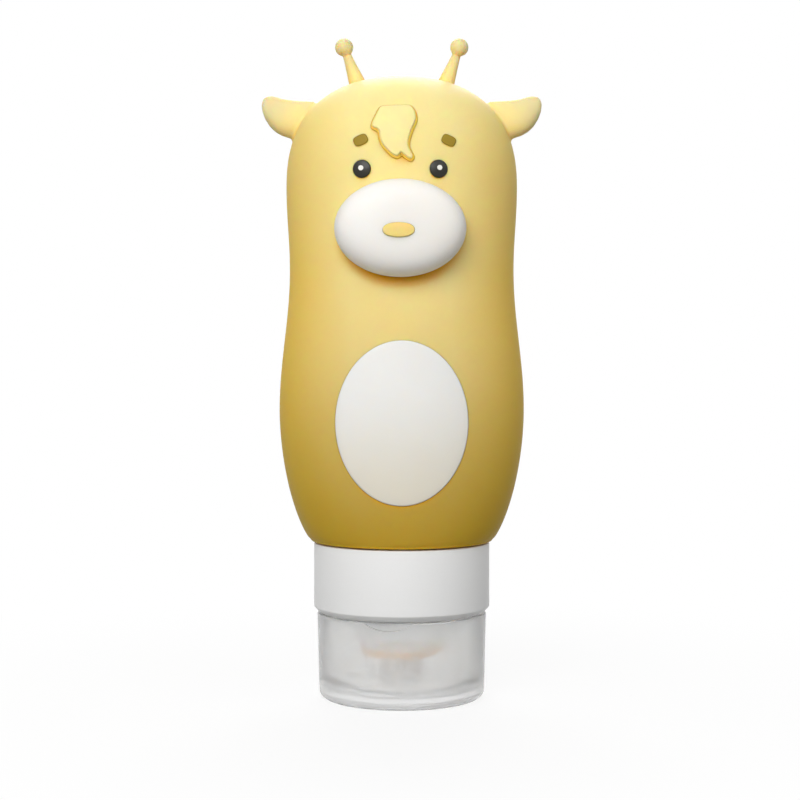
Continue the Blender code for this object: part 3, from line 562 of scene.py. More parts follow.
def turned(profile: Outline, name: str, steps: int = 120, closed: bool = False) -> Mesh:
    """Spin a profile of radii and heights about the Z axis.

    Args:
        profile: Radii and heights; both ends lie on the axis unless it is closed.
        name: The mesh's name.
        steps: How many segments the round has.
        closed: Whether the last point joins the first.

    Returns:
        A closed mesh.
    """
    shape = bmesh.new()
    points = [shape.verts.new((radius, 0.0, height)) for radius, height in profile]
    edges = [shape.edges.new(pair) for pair in zip(points, points[1:])]
    if closed:
        edges.append(shape.edges.new((points[-1], points[0])))
    bmesh.ops.spin(shape, geom=points + edges, cent=(0, 0, 0), axis=(0, 0, 1), angle=2 * math.pi,
                   steps=steps, use_merge=True)
    return closed_mesh(shape, name)


def loft(rings: Sequence[Sequence[Vector]], name: str) -> Mesh:
    """Extrude a ring of points from place to place and close both ends with a fan.

    Args:
        rings: The places of the ring's points, from one end to the other.
        name: The mesh's name.

    Returns:
        A closed mesh.
    """
    shape = bmesh.new()
    corners = [shape.verts.new(place) for place in rings[0]]
    start = rim = [shape.edges.new((corners[j - 1], corners[j])) for j in range(len(corners))]
    for ring in rings[1:]:
        made = bmesh.ops.extrude_edge_only(shape, edges=rim)["geom"]
        ahead = {item for item in made if isinstance(item, bmesh.types.BMVert)}
        rim = [item for item in made if isinstance(item, bmesh.types.BMEdge) and set(item.verts) <= ahead]
        corners = [next(edge.other_vert(corner) for edge in corner.link_edges
                        if edge.other_vert(corner) in ahead) for corner in corners]
        for corner, place in zip(corners, ring):
            corner.co = place
    for rim in (start, rim):
        face = bmesh.ops.edgeloop_fill(shape, edges=rim)["faces"]
        bmesh.ops.poke(shape, faces=face)
    return closed_mesh(shape, name)


def prism(outline: Outline, low: float, high: float, edge: float, name: str) -> Mesh:
    """Extrude an outline of Y and Z along X, and bevel its rims.

    Args:
        outline: Y and Z of the corners.
        low: X of one end.
        high: X of the other end.
        edge: Width of the bevel, or 0 for none.
        name: The mesh's name.

    Returns:
        A closed mesh.
    """
    shape = bmesh.new()
    face = shape.faces.new([shape.verts.new((low, y, z)) for y, z in outline])
    moved = bmesh.ops.extrude_face_region(shape, geom=[face], use_keep_orig=True)["geom"]
    bmesh.ops.translate(shape, vec=(high - low, 0, 0),
                        verts=[item for item in moved if isinstance(item, bmesh.types.BMVert)])
    bevel_rims(shape, 0, edge)
    return closed_mesh(shape, name)


def rod(radius: float, start: Vector, end: Vector, name: str, steps: int = 48, edge: float = 0.0) -> Mesh:
    """Make a closed cylinder between two points.

    Args:
        radius: Its radius.
        start: The middle of one end.
        end: The middle of the other end.
        name: The mesh's name.
        steps: How many sides it has.
        edge: Width of the bevel on both rims, or 0 for none.

    Returns:
        A closed mesh.
    """
    shape = bmesh.new()
    bmesh.ops.create_cone(shape, cap_ends=True, segments=steps, radius1=radius, radius2=radius,
                          depth=(end - start).length)
    bevel_rims(shape, 2, edge)
    turn = Vector((0, 0, 1)).rotation_difference(end - start).to_matrix().to_4x4()
    bmesh.ops.transform(shape, matrix=Matrix.Translation((start + end) / 2) @ turn, verts=shape.verts)
    return closed_mesh(shape, name)


def block(size: Vector, centre: Vector, name: str) -> Mesh:
    """Make a box.

    Args:
        size: Its lengths along X, Y and Z.
        centre: Its middle.
        name: The mesh's name.

    Returns:
        A closed mesh.
    """
    shape = bmesh.new()
    bmesh.ops.create_cube(shape, size=1.0)
    bmesh.ops.scale(shape, vec=size, verts=shape.verts)
    bmesh.ops.translate(shape, vec=centre, verts=shape.verts)
    return closed_mesh(shape, name)


def helix_ridge(section: Outline, pitch: float, turns: float, name: str, steps: int = 64) -> Mesh:
    """Spin a thread's section up a right-handed helix, thinned to little at both ends.

    Args:
        section: Radii and heights of the ridge at its start.
        pitch: Rise in one turn.
        turns: How many turns it runs.
        name: The mesh's name.
        steps: Segments in one turn.

    Returns:
        A closed mesh.
    """
    shape = bmesh.new()
    points = [shape.verts.new((radius, 0.0, height)) for radius, height in section]
    edges = [shape.edges.new((points[i - 1], points[i])) for i in range(len(points))]
    count = int(steps * turns)
    bmesh.ops.spin(shape, geom=points + edges, cent=(0, 0, 0), axis=(0, 0, 1), angle=2 * math.pi * turns,
                   steps=count, dvec=(0, 0, pitch * turns / count), use_merge=False)
    bmesh.ops.holes_fill(shape, edges=[e for e in shape.edges if e.is_boundary], sides=0)
    base = section[0][0]
    start = min(height for _, height in section)
    end = start + pitch * turns
    taper = pitch / 5
    end_share = 0.15
    for vertex in shape.verts:
        radius = math.hypot(vertex.co.x, vertex.co.y)
        share = min(max((vertex.co.z - start) / taper, 0.0), 1.0)
        share *= min(max((end - vertex.co.z) / taper + 1.0, 0.0), 1.0)
        wanted = base + (radius - base) * (end_share + (1 - end_share) * share)
        vertex.co.x *= wanted / radius
        vertex.co.y *= wanted / radius
    return closed_mesh(shape, name)


def combine(target: Mesh, tools: Iterable[Mesh], cut: Cut) -> Mesh:
    """Join closed meshes to a target, or cut them out of it.

    Args:
        target: The mesh that is worked on.
        tools: The meshes that work on it, one after the other.
        cut: Whether they join or remove.

    Returns:
        A new mesh; the others are deleted.
    """
    scene = bpy.context.scene.collection
    holder = bpy.data.objects.new("target", target)
    scene.objects.link(holder)
    helpers = []
    for tool in tools:
        helper = bpy.data.objects.new("tool", tool)
        scene.objects.link(helper)
        helpers.append(helper)
        step = holder.modifiers.new("cut", "BOOLEAN")
        step.operation = cut.value
        step.solver = "MANIFOLD"
        step.object = helper
    bpy.context.view_layer.update()
    graph = bpy.context.evaluated_depsgraph_get()
    result = bpy.data.meshes.new_from_object(holder.evaluated_get(graph))
    result.name = target.name
    for used in [holder] + helpers:
        mesh = used.data
        bpy.data.objects.remove(used, do_unlink=True)
        bpy.data.meshes.remove(mesh)
    return result


def dress(mesh: Mesh, finish: bpy.types.Material, body: str,
          replaced: Sequence[str] = ()) -> None:
    """Show a mesh as a finished piece that rides on a body.

    Args:
        mesh: The closed mesh, with its place in its vertices; its name becomes the piece's.
        finish: The material.
        body: The frame's body that carries the piece.
        replaced: The nodes that the piece stands for.
    """
    mesh.materials.clear()
    mesh.materials.append(finish)
    mesh.shade_smooth()
    mesh.set_sharp_from_angle(angle=SHARP_ANGLE)
    piece = bpy.data.objects.new(mesh.name, mesh)
    bpy.context.scene.collection.objects.link(piece)
    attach(piece, body)
    if replaced:
        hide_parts(*replaced)
    LOG.info("%s: %d faces, rides on %s", piece.name, len(mesh.polygons), body)


def normal_at(front: Front, x: float, z: float) -> Vector:
    """Measure how a front surface lies at a place.

    Args:
        front: Gives the surface's point for an X and a Z.
        x: The place's X.
        z: The place's Z.

    Returns:
        The outward normal.
    """
    step = 0.1 * MM
    across = front(x + step, z) - front(x - step, z)
    up = front(x, z + step) - front(x, z - step)
    return across.cross(up).normalized()


@dataclass(frozen=True)
class PadForm:
    """How a pad stands in a surface: its rise and depth, its rim, and how finely it is drawn."""

    rise: float
    depth: float
    edge: float = 0.0
    draft: float = 0.0
    crown: float = 0.0
    rows: int = 6


def pad(outline: Outline, front: Front, name: str, form: PadForm) -> Mesh:
    """Lay a closed pad along a front surface, with drafted sides and a rounded rim.

    Args:
        outline: The top face's outline in X and Z, counterclockwise.
        front: Gives the surface's point for an X and a Z.
        name: The mesh's name.
        form: How far its top lies outside the surface and its back inside, the radius of its rim, how
            much wider it is at the surface, how much its middle swells, and the rings of faces in it.

    Returns:
        A closed mesh.
    """
    middle = Vector((sum(x for x, _ in outline), sum(z for _, z in outline))) / len(outline)

    def lifted(points: Outline, height: float, share: float = 1.0) -> list[Vector]:
        """Lay outline points on the surface.

        Args:
            points: The outline.
            height: How far the surface is moved out.
            share: How much of its size the outline keeps.

        Returns:
            The points' places.
        """
        places = []
        for point in points:
            x, z = middle.lerp(Vector(point), share)
            places.append(front(x, z) + Vector((0.0, height / normal_at(front, x, z).y, 0.0)))
        return places

    edge, draft, rise, rim_steps = form.edge, form.draft, form.rise, 4
    wide = grown(outline, draft) if draft else outline
    shares = [i / form.rows for i in range(1, form.rows + 1)]
    rings = [lifted(wide, -form.depth, share) for share in shares]
    if draft:
        rings.append(lifted(wide, 0.0))
        # Just over halfway up most of the draft is gone, so the side looks curved in
        rings.append(lifted(grown(outline, draft * 0.3), rise * 0.55))
    if edge:
        for i in range(rim_steps + 1):
            turn = math.pi / 2 * i / rim_steps
            inset = grown(outline, -edge * (1 - math.cos(turn)))
            rings.append(lifted(inset, rise - edge * (1 - math.sin(turn))))
    else:
        rings.append(lifted(outline, rise))
    top = grown(outline, -edge) if edge else outline
    rings += [lifted(top, rise + form.crown * (1 - share * share), share)
              for share in reversed(shares[:-1])]
    return loft(rings, name)


def front_middle(node: str) -> Vector:
    """Return the middle of a node's front: X and Z of its middle and its lowest Y."""
    low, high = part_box(node)
    return Vector(((low.x + high.x) / 2, low.y, (low.z + high.z) / 2))


@dataclass(frozen=True)
class BottleForm:
    """The silicone bottle's outer form: widths and depths at its base, belly, waist and head."""

    base: float = field(default_factory=lambda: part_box("bottle_body")[0].z)
    base_width: float = 36.6 * MM
    belly: Flat = (50.0 * MM, 40.0 * MM)
    waist: Flat = (45.8 * MM, 38.2 * MM)
    head: Flat = (47.2 * MM, 38.8 * MM)
    belly_height: float = 26.6 * MM
    waist_height: float = 55.2 * MM
    cheek_height: float = 71.9 * MM
    crown_height: float = 94.6 * MM
    dome_power: float = 2.4
    shoulder_powers: Flat = (1.85, 1.38)

    # At the crown the form has no width, so it is read a little below it
    crown_play: float = 0.5 * MM
    front_play: float = 0.05 * MM

    # How many rings of faces each part has; those of the foot crowd towards the base
    dome_rows: int = 34
    cheek_rows: int = 14
    waist_rows: int = 24
    foot_rows: int = 32
    foot_crowding: float = 1.5

    @property
    def crown(self) -> float:
        """Height of the crown of the head above the floor."""
        return self.base + self.crown_height

    def half(self, height: float, side: int) -> float:
        """Measure the form at a height.

        Args:
            height: The height above the base.
            side: 0 for the width, 1 for the depth.

        Returns:
            Half of the width or depth.
        """
        if height <= self.belly_height:
            lean, bulge = self.shoulder_powers
            share = (1 - (1 - max(height, 0.0) / self.belly_height) ** lean) ** (1 / bulge)
            return (self.base_width + (self.belly[side] - self.base_width) * share) / 2
        if height <= self.waist_height:
            share = (height - self.belly_height) / (self.waist_height - self.belly_height)
            return self.eased(self.belly[side], self.waist[side], share)
        if height <= self.cheek_height:
            share = (height - self.waist_height) / (self.cheek_height - self.waist_height)
            return self.eased(self.waist[side], self.head[side], share)
        share = min((height - self.cheek_height) / (self.crown_height - self.cheek_height), 1.0)
        return self.head[side] * (1 - share ** self.dome_power) ** (1 / self.dome_power) / 2

    @staticmethod
    def eased(first: float, second: float, share: float) -> float:
        """Return half of a size that goes smoothly from one value to another."""
        return (first + (second - first) * (1 - math.cos(math.pi * share)) / 2) / 2

    def front(self, x: float, z: float) -> Vector:
        """Find the bottle's front at a place.

        Args:
            x: The place's X.
            z: The place's Z.

        Returns:
            The point on the front.
        """
        height = min(z - self.base, self.crown_height - self.front_play)
        across = min(abs(x) / max(self.half(height, 0), WELD), NEAR_RIM_SHARE)
        return Vector((x, -self.half(height, 1) * math.sqrt(1 - across * across), z))

    def rows(self) -> list[float]:
        """List where the form's rings stand.

        Returns:
            Their heights above the base, from the crown down.
        """
        power = 2 / self.dome_power
        dome = [math.cos(math.pi / 2 * i / self.dome_rows) ** power for i in range(self.dome_rows + 1)]
        heights = [self.cheek_height + (self.crown_height - self.cheek_height) * share for share in dome]
        for low, high, count in ((self.waist_height, self.cheek_height, self.cheek_rows),
                                 (self.belly_height, self.waist_height, self.waist_rows)):
            heights += [high + (low - high) * (i + 1) / count for i in range(count)]
        foot = [1 - (i + 1) / self.foot_rows for i in range(self.foot_rows)]
        return heights + [self.belly_height * share ** self.foot_crowding for share in foot]

    def solid(self, growth: float = 0.0) -> Mesh:
        """Make the whole outer form, with nothing hollow in it.

        Args:
            growth: How far its skin is moved out.

        Returns:
            A closed mesh.
        """
        profile = [(self.half(height, 0), self.base + height) for height in self.rows()]
        profile[0] = (0.0, self.crown)
        mesh = turned(profile + [(0.0, self.base)], "form", steps=128)
        for vertex in mesh.vertices:
            height = min(vertex.co.z - self.base, self.crown_height - self.crown_play)
            vertex.co.y *= max(self.half(height, 1), WELD) / max(self.half(height, 0), WELD)
        if growth:
            shape = bmesh.new()
            shape.from_mesh(mesh)
            shape.normal_update()
            places = [vertex.co + vertex.normal * growth for vertex in shape.verts]
            for vertex, place in zip(shape.verts, places):
                vertex.co = place
            shape.to_mesh(mesh)
            shape.free()
        return mesh


@dataclass
class SqueezeBottle:
    """The hollow silicone bottle: skin, ears and horns in one moulding, and the seats of its inlays."""

    form: BottleForm
    wall: float = 2.4 * MM
    base_rim: float = 0.5 * MM
    mouth_radius: float = 13.9 * MM
    mouth_height: float = 2.0 * MM
    mouth_edge: float = 0.3 * MM
    pocket_radius: float = 16.9 * MM
    pocket_top: float = 4.1 * MM
    seat_gap: float = 0.05 * MM
    seat_depth: float = 0.8 * MM
    ear_tip: float = 28.7 * MM
    ear_root: float = 17.0 * MM
    ear_half_thickness: float = 2.35 * MM
    ear_round: float = 5.5 * MM
    ear_thin_share: float = 0.22
    ear_fillet: float = 0.9 * MM
    ear_sides: int = 48
    ear_rings: int = 12
    horn_root: Flat = (8.4 * MM, -3.0 * MM)
    horn_tip: Flat = (11.8 * MM, 6.25 * MM)
    horn_ball: float = 1.87 * MM
    horn_ball_share: float = 0.3
    horn_ball_angles: Flat = (4.0, 152.0)
    horn_neck: float = 0.88 * MM
    horn_foot: float = 2.05 * MM
    horn_flare: float = 1.15
    horn_fillet: float = 0.35 * MM
    horn_sides: int = 32
    horn_rings: tuple[int, int] = (12, 8)
    fillet_angles: tuple[float, ...] = (15.0, 30.0, 45.0, 60.0, 74.0)

    # A limb's root goes on below the skin: a step out and in, then straight down in the wall
    limb_root: Flat = (0.336 * MM, 0.098 * MM)
    limb_sink: float = 0.9 * MM

    # Distance from the middle plane, and upper and lower edge of an ear below the crown, in millimetres
    ear_edges: tuple[Triple, ...] = (
        (28.7, 5.6, 5.6), (28.5, 4.5, 7.0), (28.0, 4.0, 8.4), (27.0, 3.7, 10.0), (26.0, 3.8, 11.0),
        (24.7, 4.25, 11.8), (22.6, 4.6, 12.5), (20.5, 4.75, 12.9), (17.0, 4.9, 13.1),
    )

    def skin(self) -> Mesh:
        """Make the bottle's skin and its hollow: outer form, rim, mouth, pocket for the neck, inner wall.

        Returns:
            A closed mesh.
        """
        form = self.form
        outer = [(form.half(height, 0), form.base + height) for height in form.rows()]
        outer[0] = (0.0, form.crown)
        rim = [point for point in outer if point[1] > form.base + self.base_rim]
        edge_middle = (form.base_width / 2 - self.base_rim / 4, form.base + self.base_rim)
        edge = arc(edge_middle, self.base_rim, 0, -90, 6)
        mouth_top, pocket_top = form.base + self.mouth_height, form.base + self.pocket_top
        mouth = rounded([
            edge[-1], (self.mouth_radius, form.base), (self.mouth_radius, mouth_top),
            (self.pocket_radius, mouth_top), (self.pocket_radius, pocket_top),
            (form.half(self.pocket_top, 0) - self.wall, pocket_top),
        ], self.mouth_edge)
        inner = [(form.half(height, 0) - self.wall, form.base + height - self.wall)
                 for height in reversed(form.rows()) if height > self.pocket_top + 2 * self.wall]
        inner = [point for point in inner if point[0] > WELD]
        hollow = inner + [(0.0, form.crown - self.wall)]
        return self.pressed(turned(rim + edge[1:] + mouth[1:] + hollow, "bottle_body", steps=160))

    def pressed(self, mesh: Mesh) -> Mesh:
        """Press the round skin to the bottle's depth; the mouth and the pocket stay round.

        Args:
            mesh: The skin as it is turned.

        Returns:
            The same mesh.
        """
        form = self.form
        for vertex in mesh.vertices:
            height = vertex.co.z - form.base
            radius = math.hypot(vertex.co.x, vertex.co.y)
            outer = form.half(min(height, form.crown_height), 0)
            if radius > outer - self.wall / 3:
                height = min(max(height, 0.0), form.crown_height - form.crown_play)
                vertex.co.y *= form.half(height, 1) / form.half(height, 0)
            elif height > self.pocket_top + self.wall / 2:
                height = min(height + self.wall, form.crown_height - self.wall)
                share = min((height - self.pocket_top - self.wall) / (3 * self.wall), 1.0)
                ratio = (form.half(height, 1) - self.wall) / (form.half(height, 0) - self.wall)
                vertex.co.y *= 1 + (ratio - 1) * share
        return mesh

    def ear_section(self, side: int, reach: float) -> Ring:
        """Draw one upright ring of an ear.

        Args:
            side: -1 for the ear at -X, 1 for the other.
            reach: The share of the way from tip to root.

        Returns:
            The ring's points and its middle.
        """
        across = self.ear_tip + (self.ear_root - self.ear_tip) * reach
        edges = [(a * MM, high * MM, low * MM) for a, high, low in self.ear_edges]
        first, second = next((pair for pair in zip(edges, edges[1:]) if pair[1][0] <= across + WELD),
                             (edges[-2], edges[-1]))
        share = (first[0] - across) / (first[0] - second[0])
        high = first[1] + (second[1] - first[1]) * share
        low = first[2] + (second[2] - first[2]) * share
        middle = Vector((side * across, 0.0, self.form.crown - (high + low) / 2))
        round_off = min((self.ear_tip - across) / self.ear_round, 1.0)
        thick = self.ear_half_thickness * math.sqrt(max(1 - (1 - round_off) ** 2, 0.0))
        ring = []
        for i in range(self.ear_sides):
            angle = 2 * math.pi * i / self.ear_sides
            up = math.sin(angle)
            swell = 1.0 - self.ear_thin_share * up
            ring.append(middle + Vector((0.0, thick * swell * math.cos(angle), (low - high) / 2 * up)))
        return ring, middle

    def horn_section(self, side: int, reach: float) -> Ring:
        """Draw one ring round a horn.

        Args:
            side: -1 for the horn at -X, 1 for the other.
            reach: The share of the way from tip to root.

        Returns:
            The ring's points and its middle.
        """
        root = Vector((side * self.horn_root[0], 0.0, self.form.crown + self.horn_root[1]))
        tip = Vector((side * self.horn_tip[0], 0.0, self.form.crown + self.horn_tip[1]))
        along = (root - tip).normalized()
        length = (root - tip).length
        first, last = self.horn_ball_angles
        if reach <= self.horn_ball_share:
            turn = math.radians(first + (last - first) * reach / self.horn_ball_share)
            middle, radius = tip - along * self.horn_ball * math.cos(turn), self.horn_ball * math.sin(turn)
        else:
            start = -self.horn_ball * math.cos(math.radians(last))
            share = (reach - self.horn_ball_share) / (1 - self.horn_ball_share)
            middle = tip + along * (start + (length - start) * share)
            radius = self.horn_neck + (self.horn_foot - self.horn_neck) * share ** self.horn_flare
        sideways = Vector((0.0, 1.0, 0.0))
        other = along.cross(sideways)
        ring = [middle + (sideways * math.cos(a) + other * math.sin(a)) * radius
                for a in (2 * math.pi * i / self.horn_sides for i in range(self.horn_sides))]
        return ring, middle

    def limb(self, section: Callable[[float], Ring], tree: BVHTree, fillet: float,
             shares: Sequence[float], name: str) -> Mesh:
        """Grow a limb out of the head, with a fillet where it meets the skin.

        Args:
            section: Gives a ring and its middle for a share of the way from tip to root.
            tree: The head's skin.
            fillet: Radius of the fillet.
            shares: Where the rings stand between the tip and the start of the fillet.
            name: The mesh's name.

        Returns:
            A closed mesh whose foot lies inside the wall.
        """
        def height(point: Vector) -> float:
            """Return how far a point lies outside the skin."""
            hit, normal, _, _ = tree.find_nearest(point)
            return (point - hit).dot(normal)

        # Each line of the limb ends one fillet away from the skin, and halving finds that place
        halvings = 22
        count = len(section(0.5)[0])
        ends = []
        for j in range(count):
            near, far = 0.3, 1.0
            for _ in range(halvings):
                half = (near + far) / 2
                if height(section(half)[0][j]) > fillet:
                    near = half
                else:
                    far = half
            ends.append(near)
        rings = [[section(share * ends[j])[0][j] for j in range(count)] for share in shares]
        foot = []
        for j in range(count):
            ring, middle = section(ends[j])
            _, normal, _, _ = tree.find_nearest(ring[j])
            out = ring[j] - middle
            out = (out - normal * out.dot(normal)).normalized()
            foot.append((ring[j], out, normal))
        for turn in (math.radians(angle) for angle in self.fillet_angles):
            rings.append([start + out * fillet * (1 - math.cos(turn)) - normal * fillet * math.sin(turn)
                          for start, out, normal in foot])
        aside, inward = self.limb_root
        rings.append([place + out * aside - normal * inward
                      for place, (_, out, normal) in zip(rings[-1], foot)])
        rings.append([start - normal * (fillet + self.limb_sink) for start, _, normal in foot])
        return loft(rings, name)

    def build(self, seats: Sequence[Mesh]) -> None:
        """Join ears and horns to the skin, cut the inlays' seats into it, and dress it.

        Args:
            seats: The seats' cutters.
        """
        solid = self.form.solid()
        shape = bmesh.new()
        shape.from_mesh(solid)
        tree = BVHTree.FromBMesh(shape)
        shape.free()
        bpy.data.meshes.remove(solid)
        tip_share = 0.004
        ear_shares = [tip_share] + [1 - math.cos(math.pi / 2 * (i + 1) / self.ear_rings)
                                    for i in range(self.ear_rings)]
        ball, (over, below) = self.horn_ball_share, self.horn_rings
        horn_shares = [ball * i / over for i in range(over + 1)]
        horn_shares += [ball + (1 - ball) * (i + 1) / below for i in range(below)]
        limbs = []
        for side in (-1, 1):
            limbs.append(self.limb(lambda reach, s=side: self.ear_section(s, reach), tree,
                                   self.ear_fillet, ear_shares, f"ear_{side}"))
            limbs.append(self.limb(lambda reach, s=side: self.horn_section(s, reach), tree,
                                   self.horn_fillet, horn_shares, f"horn_{side}"))
        body = combine(combine(self.skin(), limbs, Cut.JOIN), seats, Cut.REMOVE)
        dress(body, YELLOW.build(), "bottle", ["bottle_body"])


@dataclass
class Face:
    """The inlays of the face and the belly, each laid in its seat, and the muzzle pad."""

    form: BottleForm
    muzzle_size: Triple = (25.7 * MM, 14.8 * MM, 19.1 * MM)
    muzzle_power: float = 3.4
    muzzle_place: Vector = field(default_factory=lambda: front_middle("muzzle"))
    muzzle_gap: float = 0.04 * MM
    nose_size: Flat = (6.1 * MM, 2.8 * MM)
    nose_power: float = 2.2
    nose_pad: PadForm = PadForm(0.2 * MM, 0.8 * MM, edge=0.15 * MM, crown=0.08 * MM, rows=3)
    nose_seat: PadForm = PadForm(OVERRUN, 0.85 * MM)
    patch_pad: PadForm = PadForm(0.28 * MM, 0.75 * MM, edge=0.25 * MM, rows=12)
    eye_width: float = 3.5 * MM
    eye_pad: PadForm = PadForm(0.38 * MM, 0.75 * MM, edge=0.3 * MM, crown=0.22 * MM)
    brow_size: Flat = (2.8 * MM, 2.0 * MM)
    brow_power: float = 3.2
    brow_tilt: float = math.radians(24.0)
    brow_pad: PadForm = PadForm(0.22 * MM, 0.75 * MM, edge=0.18 * MM, rows=2)
    lock_pad: PadForm = PadForm(0.85 * MM, 0.4 * MM, edge=0.3 * MM, draft=0.1 * MM, crown=0.08 * MM)
    # The foot is shifted down and aside, so its painted amber shade shows mostly below the lock
    lock_rim: float = 0.35 * MM
    lock_rim_shift: Flat = (0.05 * MM, -0.25 * MM)
    foot_pad: PadForm = PadForm(0.25 * MM, 0.75 * MM, edge=0.2 * MM)

    # A glint is ink on the swollen middle of an eye, so its back lies in the eye and not in the bottle
    glint_radius: float = 0.5 * MM
    glint_places: tuple[Flat, ...] = ((-0.2 * MM, 0.15 * MM), (0.2 * MM, 0.2 * MM))
    glint_pad: PadForm = PadForm(eye_pad.rise + 0.26 * MM, -eye_pad.rise - 0.08 * MM, edge=0.03 * MM,
                                 rows=3)

    # Corners of the lock of hair, as shares of its width and height from its middle
    forelock_shares: tuple[Flat, ...] = (
        (-0.30, 0.47), (-0.14, 0.49), (0.29, 0.50), (0.39, 0.48), (0.47, 0.39), (0.50, 0.27),
        (0.48, 0.18), (0.41, 0.05), (0.36, -0.07), (0.33, -0.17), (0.33, -0.28), (0.38, -0.38),
        (0.43, -0.45), (0.41, -0.50), (0.35, -0.50), (0.26, -0.45), (0.17, -0.39), (0.10, -0.45),
        (0.03, -0.45), (-0.07, -0.40), (-0.18, -0.31), (-0.27, -0.21), (-0.32, -0.09), (-0.33, -0.01),
        (-0.38, 0.05), (-0.48, 0.09), (-0.50, 0.14), (-0.46, 0.23), (-0.39, 0.35),
    )

    @staticmethod
    def middle(node: str) -> tuple[Flat, Flat]:
        """Return the middle of a node and its width and height, seen from the front."""
        low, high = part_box(node)
        return ((low.x + high.x) / 2, (low.z + high.z) / 2), (high.x - low.x, high.z - low.z)

    def muzzle_front(self, x: float, z: float) -> Vector:
        """Find the muzzle's front at a place.

        Args:
            x: The place's X.
            z: The place's Z.

        Returns:
            The point on the front.
        """
        cx, front, cz = self.muzzle_place
        width, depth, height = self.muzzle_size
        share = min(math.hypot((x - cx) / (width / 2), (z - cz) / (height / 2)), NEAR_RIM_SHARE)
        out = (1 - share ** self.muzzle_power) ** (1 / self.muzzle_power)
        return Vector((x, front + depth / 2 * (1 - out), z))

    def muzzle(self) -> Mesh:
        """Make the muzzle pad: a pillow whose back follows the face, with the nose's seat.

        Returns:
            A closed mesh.
        """
        cx, front, cz = self.muzzle_place
        width, depth, height = self.muzzle_size
        power = self.muzzle_power
        shape = bmesh.new()
        bmesh.ops.create_uvsphere(shape, u_segments=96, v_segments=64, radius=1.0)
        bmesh.ops.rotate(shape, cent=(0, 0, 0), matrix=Matrix.Rotation(math.pi / 2, 3, "X"),
                         verts=shape.verts)
        for vertex in shape.verts:
            across = math.hypot(vertex.co.x, vertex.co.z) ** power
            spread = (across + abs(vertex.co.y) ** power) ** (1 / power)
            x, y, z = vertex.co / spread
            vertex.co = (cx + x * width / 2, front + depth / 2 + y * depth / 2, cz + z * height / 2)
        hole = grown(self.nose_outline(), self.muzzle_gap)
        seat = pad(hole, self.muzzle_front, "nose_seat", self.nose_seat)
        return combine(closed_mesh(shape, "muzzle"), [self.form.solid(self.muzzle_gap), seat], Cut.REMOVE)

    def nose_outline(self) -> Outline:
        """Return the nose: an oval with drawn-out ends."""
        return oval(self.middle("nose")[0], self.nose_size, self.nose_power, steps=64)

    def brow_outline(self, side: int, node: str) -> Outline:
        """Return one brow: a short rounded bar, its inner end higher."""
        return oval(self.middle(node)[0], self.brow_size, self.brow_power, -side * self.brow_tilt, steps=48)

    def forelock_outline(self) -> Outline:
        """Draw the top face of the lock of hair: broad above, swept to a forked tip below.

        Returns:
            The outline's points, counterclockwise.
        """
        centre, size = self.middle("forelock")
        points = [(centre[0] + x * size[0], centre[1] + z * size[1]) for x, z in self.forelock_shares]
        return smooth_loop(list(reversed(points)), 160)

    def lock_foot(self) -> Outline:
        """Return the outline of the lock's drafted foot, painted amber shade that shows below the lock and
        beside it.
        """
        across, up = self.lock_rim_shift
        return [(x + across, z + up) for x, z in grown(self.forelock_outline(), self.lock_rim)]

    def inlays(self) -> dict[str, Outline]:
        """Draw the inlays that lie in the bottle.

        Returns:
            Their outlines by node; the forelock lies on its foot, so the foot stands for it.
        """
        eye = {node: oval(self.middle(node)[0], (self.eye_width, self.eye_width), steps=48)
               for node in ("eye_left", "eye_right")}
        brow = {node: self.brow_outline(side, node)
                for side, node in ((-1, "brow_left"), (1, "brow_right"))}
        centre, size = self.middle("belly_patch")
        patch = oval(centre, size, steps=128)
        return {"belly_patch": patch, "lock_foot": self.lock_foot(), **eye, **brow}

    def seats(self, gap: float, depth: float) -> list[Mesh]:
        """Make the cutters of the seats that the inlays lie in.

        Args:
            gap: The gap round an inlay.
            depth: How deep a seat is.

        Returns:
            A closed mesh for each inlay.
        """
        cutters = []
        for node, outline in self.inlays().items():
            rows = 10 if node == "belly_patch" else 3
            cutters.append(pad(grown(outline, gap), self.form.front, node + "_seat",
                               PadForm(2 * OVERRUN, depth, rows=rows)))
        return cutters

    def build(self) -> None:
        """Make and dress muzzle, nose, belly, forelock and its foot, eyes and their glints, and brows."""
        white, brown, black, glint = WHITE.build(), BROWN.build(), BLACK.build(), GLINT.build()
        shapes, front = self.inlays(), self.form.front
        dress(self.muzzle(), white, "bottle", ["muzzle"])
        nose = pad(self.nose_outline(), self.muzzle_front, "nose", self.nose_pad)
        dress(nose, ORANGE.build(), "bottle", ["nose"])
        patch = pad(shapes["belly_patch"], front, "belly_patch", self.patch_pad)
        dress(patch, white, "bottle", ["belly_patch"])
        # The foot carries painted amber shade round the lock
        foot = pad(shapes["lock_foot"], front, "forelock_shade_foot", self.foot_pad)
        dress(foot, PAINTED_SHADE_AMBER.build(), "bottle")
        lock = pad(self.forelock_outline(), front, "forelock", self.lock_pad)
        dress(lock, PALE.build(), "bottle", ["forelock"])
        for node, (across, up) in zip(("eye_left", "eye_right"), self.glint_places):
            dress(pad(shapes[node], front, node, self.eye_pad), black, "bottle", [node])
            (x, z), _ = self.middle(node)
            spot = oval((x + across, z + up), (2 * self.glint_radius, 2 * self.glint_radius), steps=32)
            mark = pad(spot, front, node.replace("eye", "glint"), self.glint_pad)
            dress(mark, glint, "bottle")
        for node in ("brow_left", "brow_right"):
            dress(pad(shapes[node], front, node, self.brow_pad), brown, "bottle", [node])


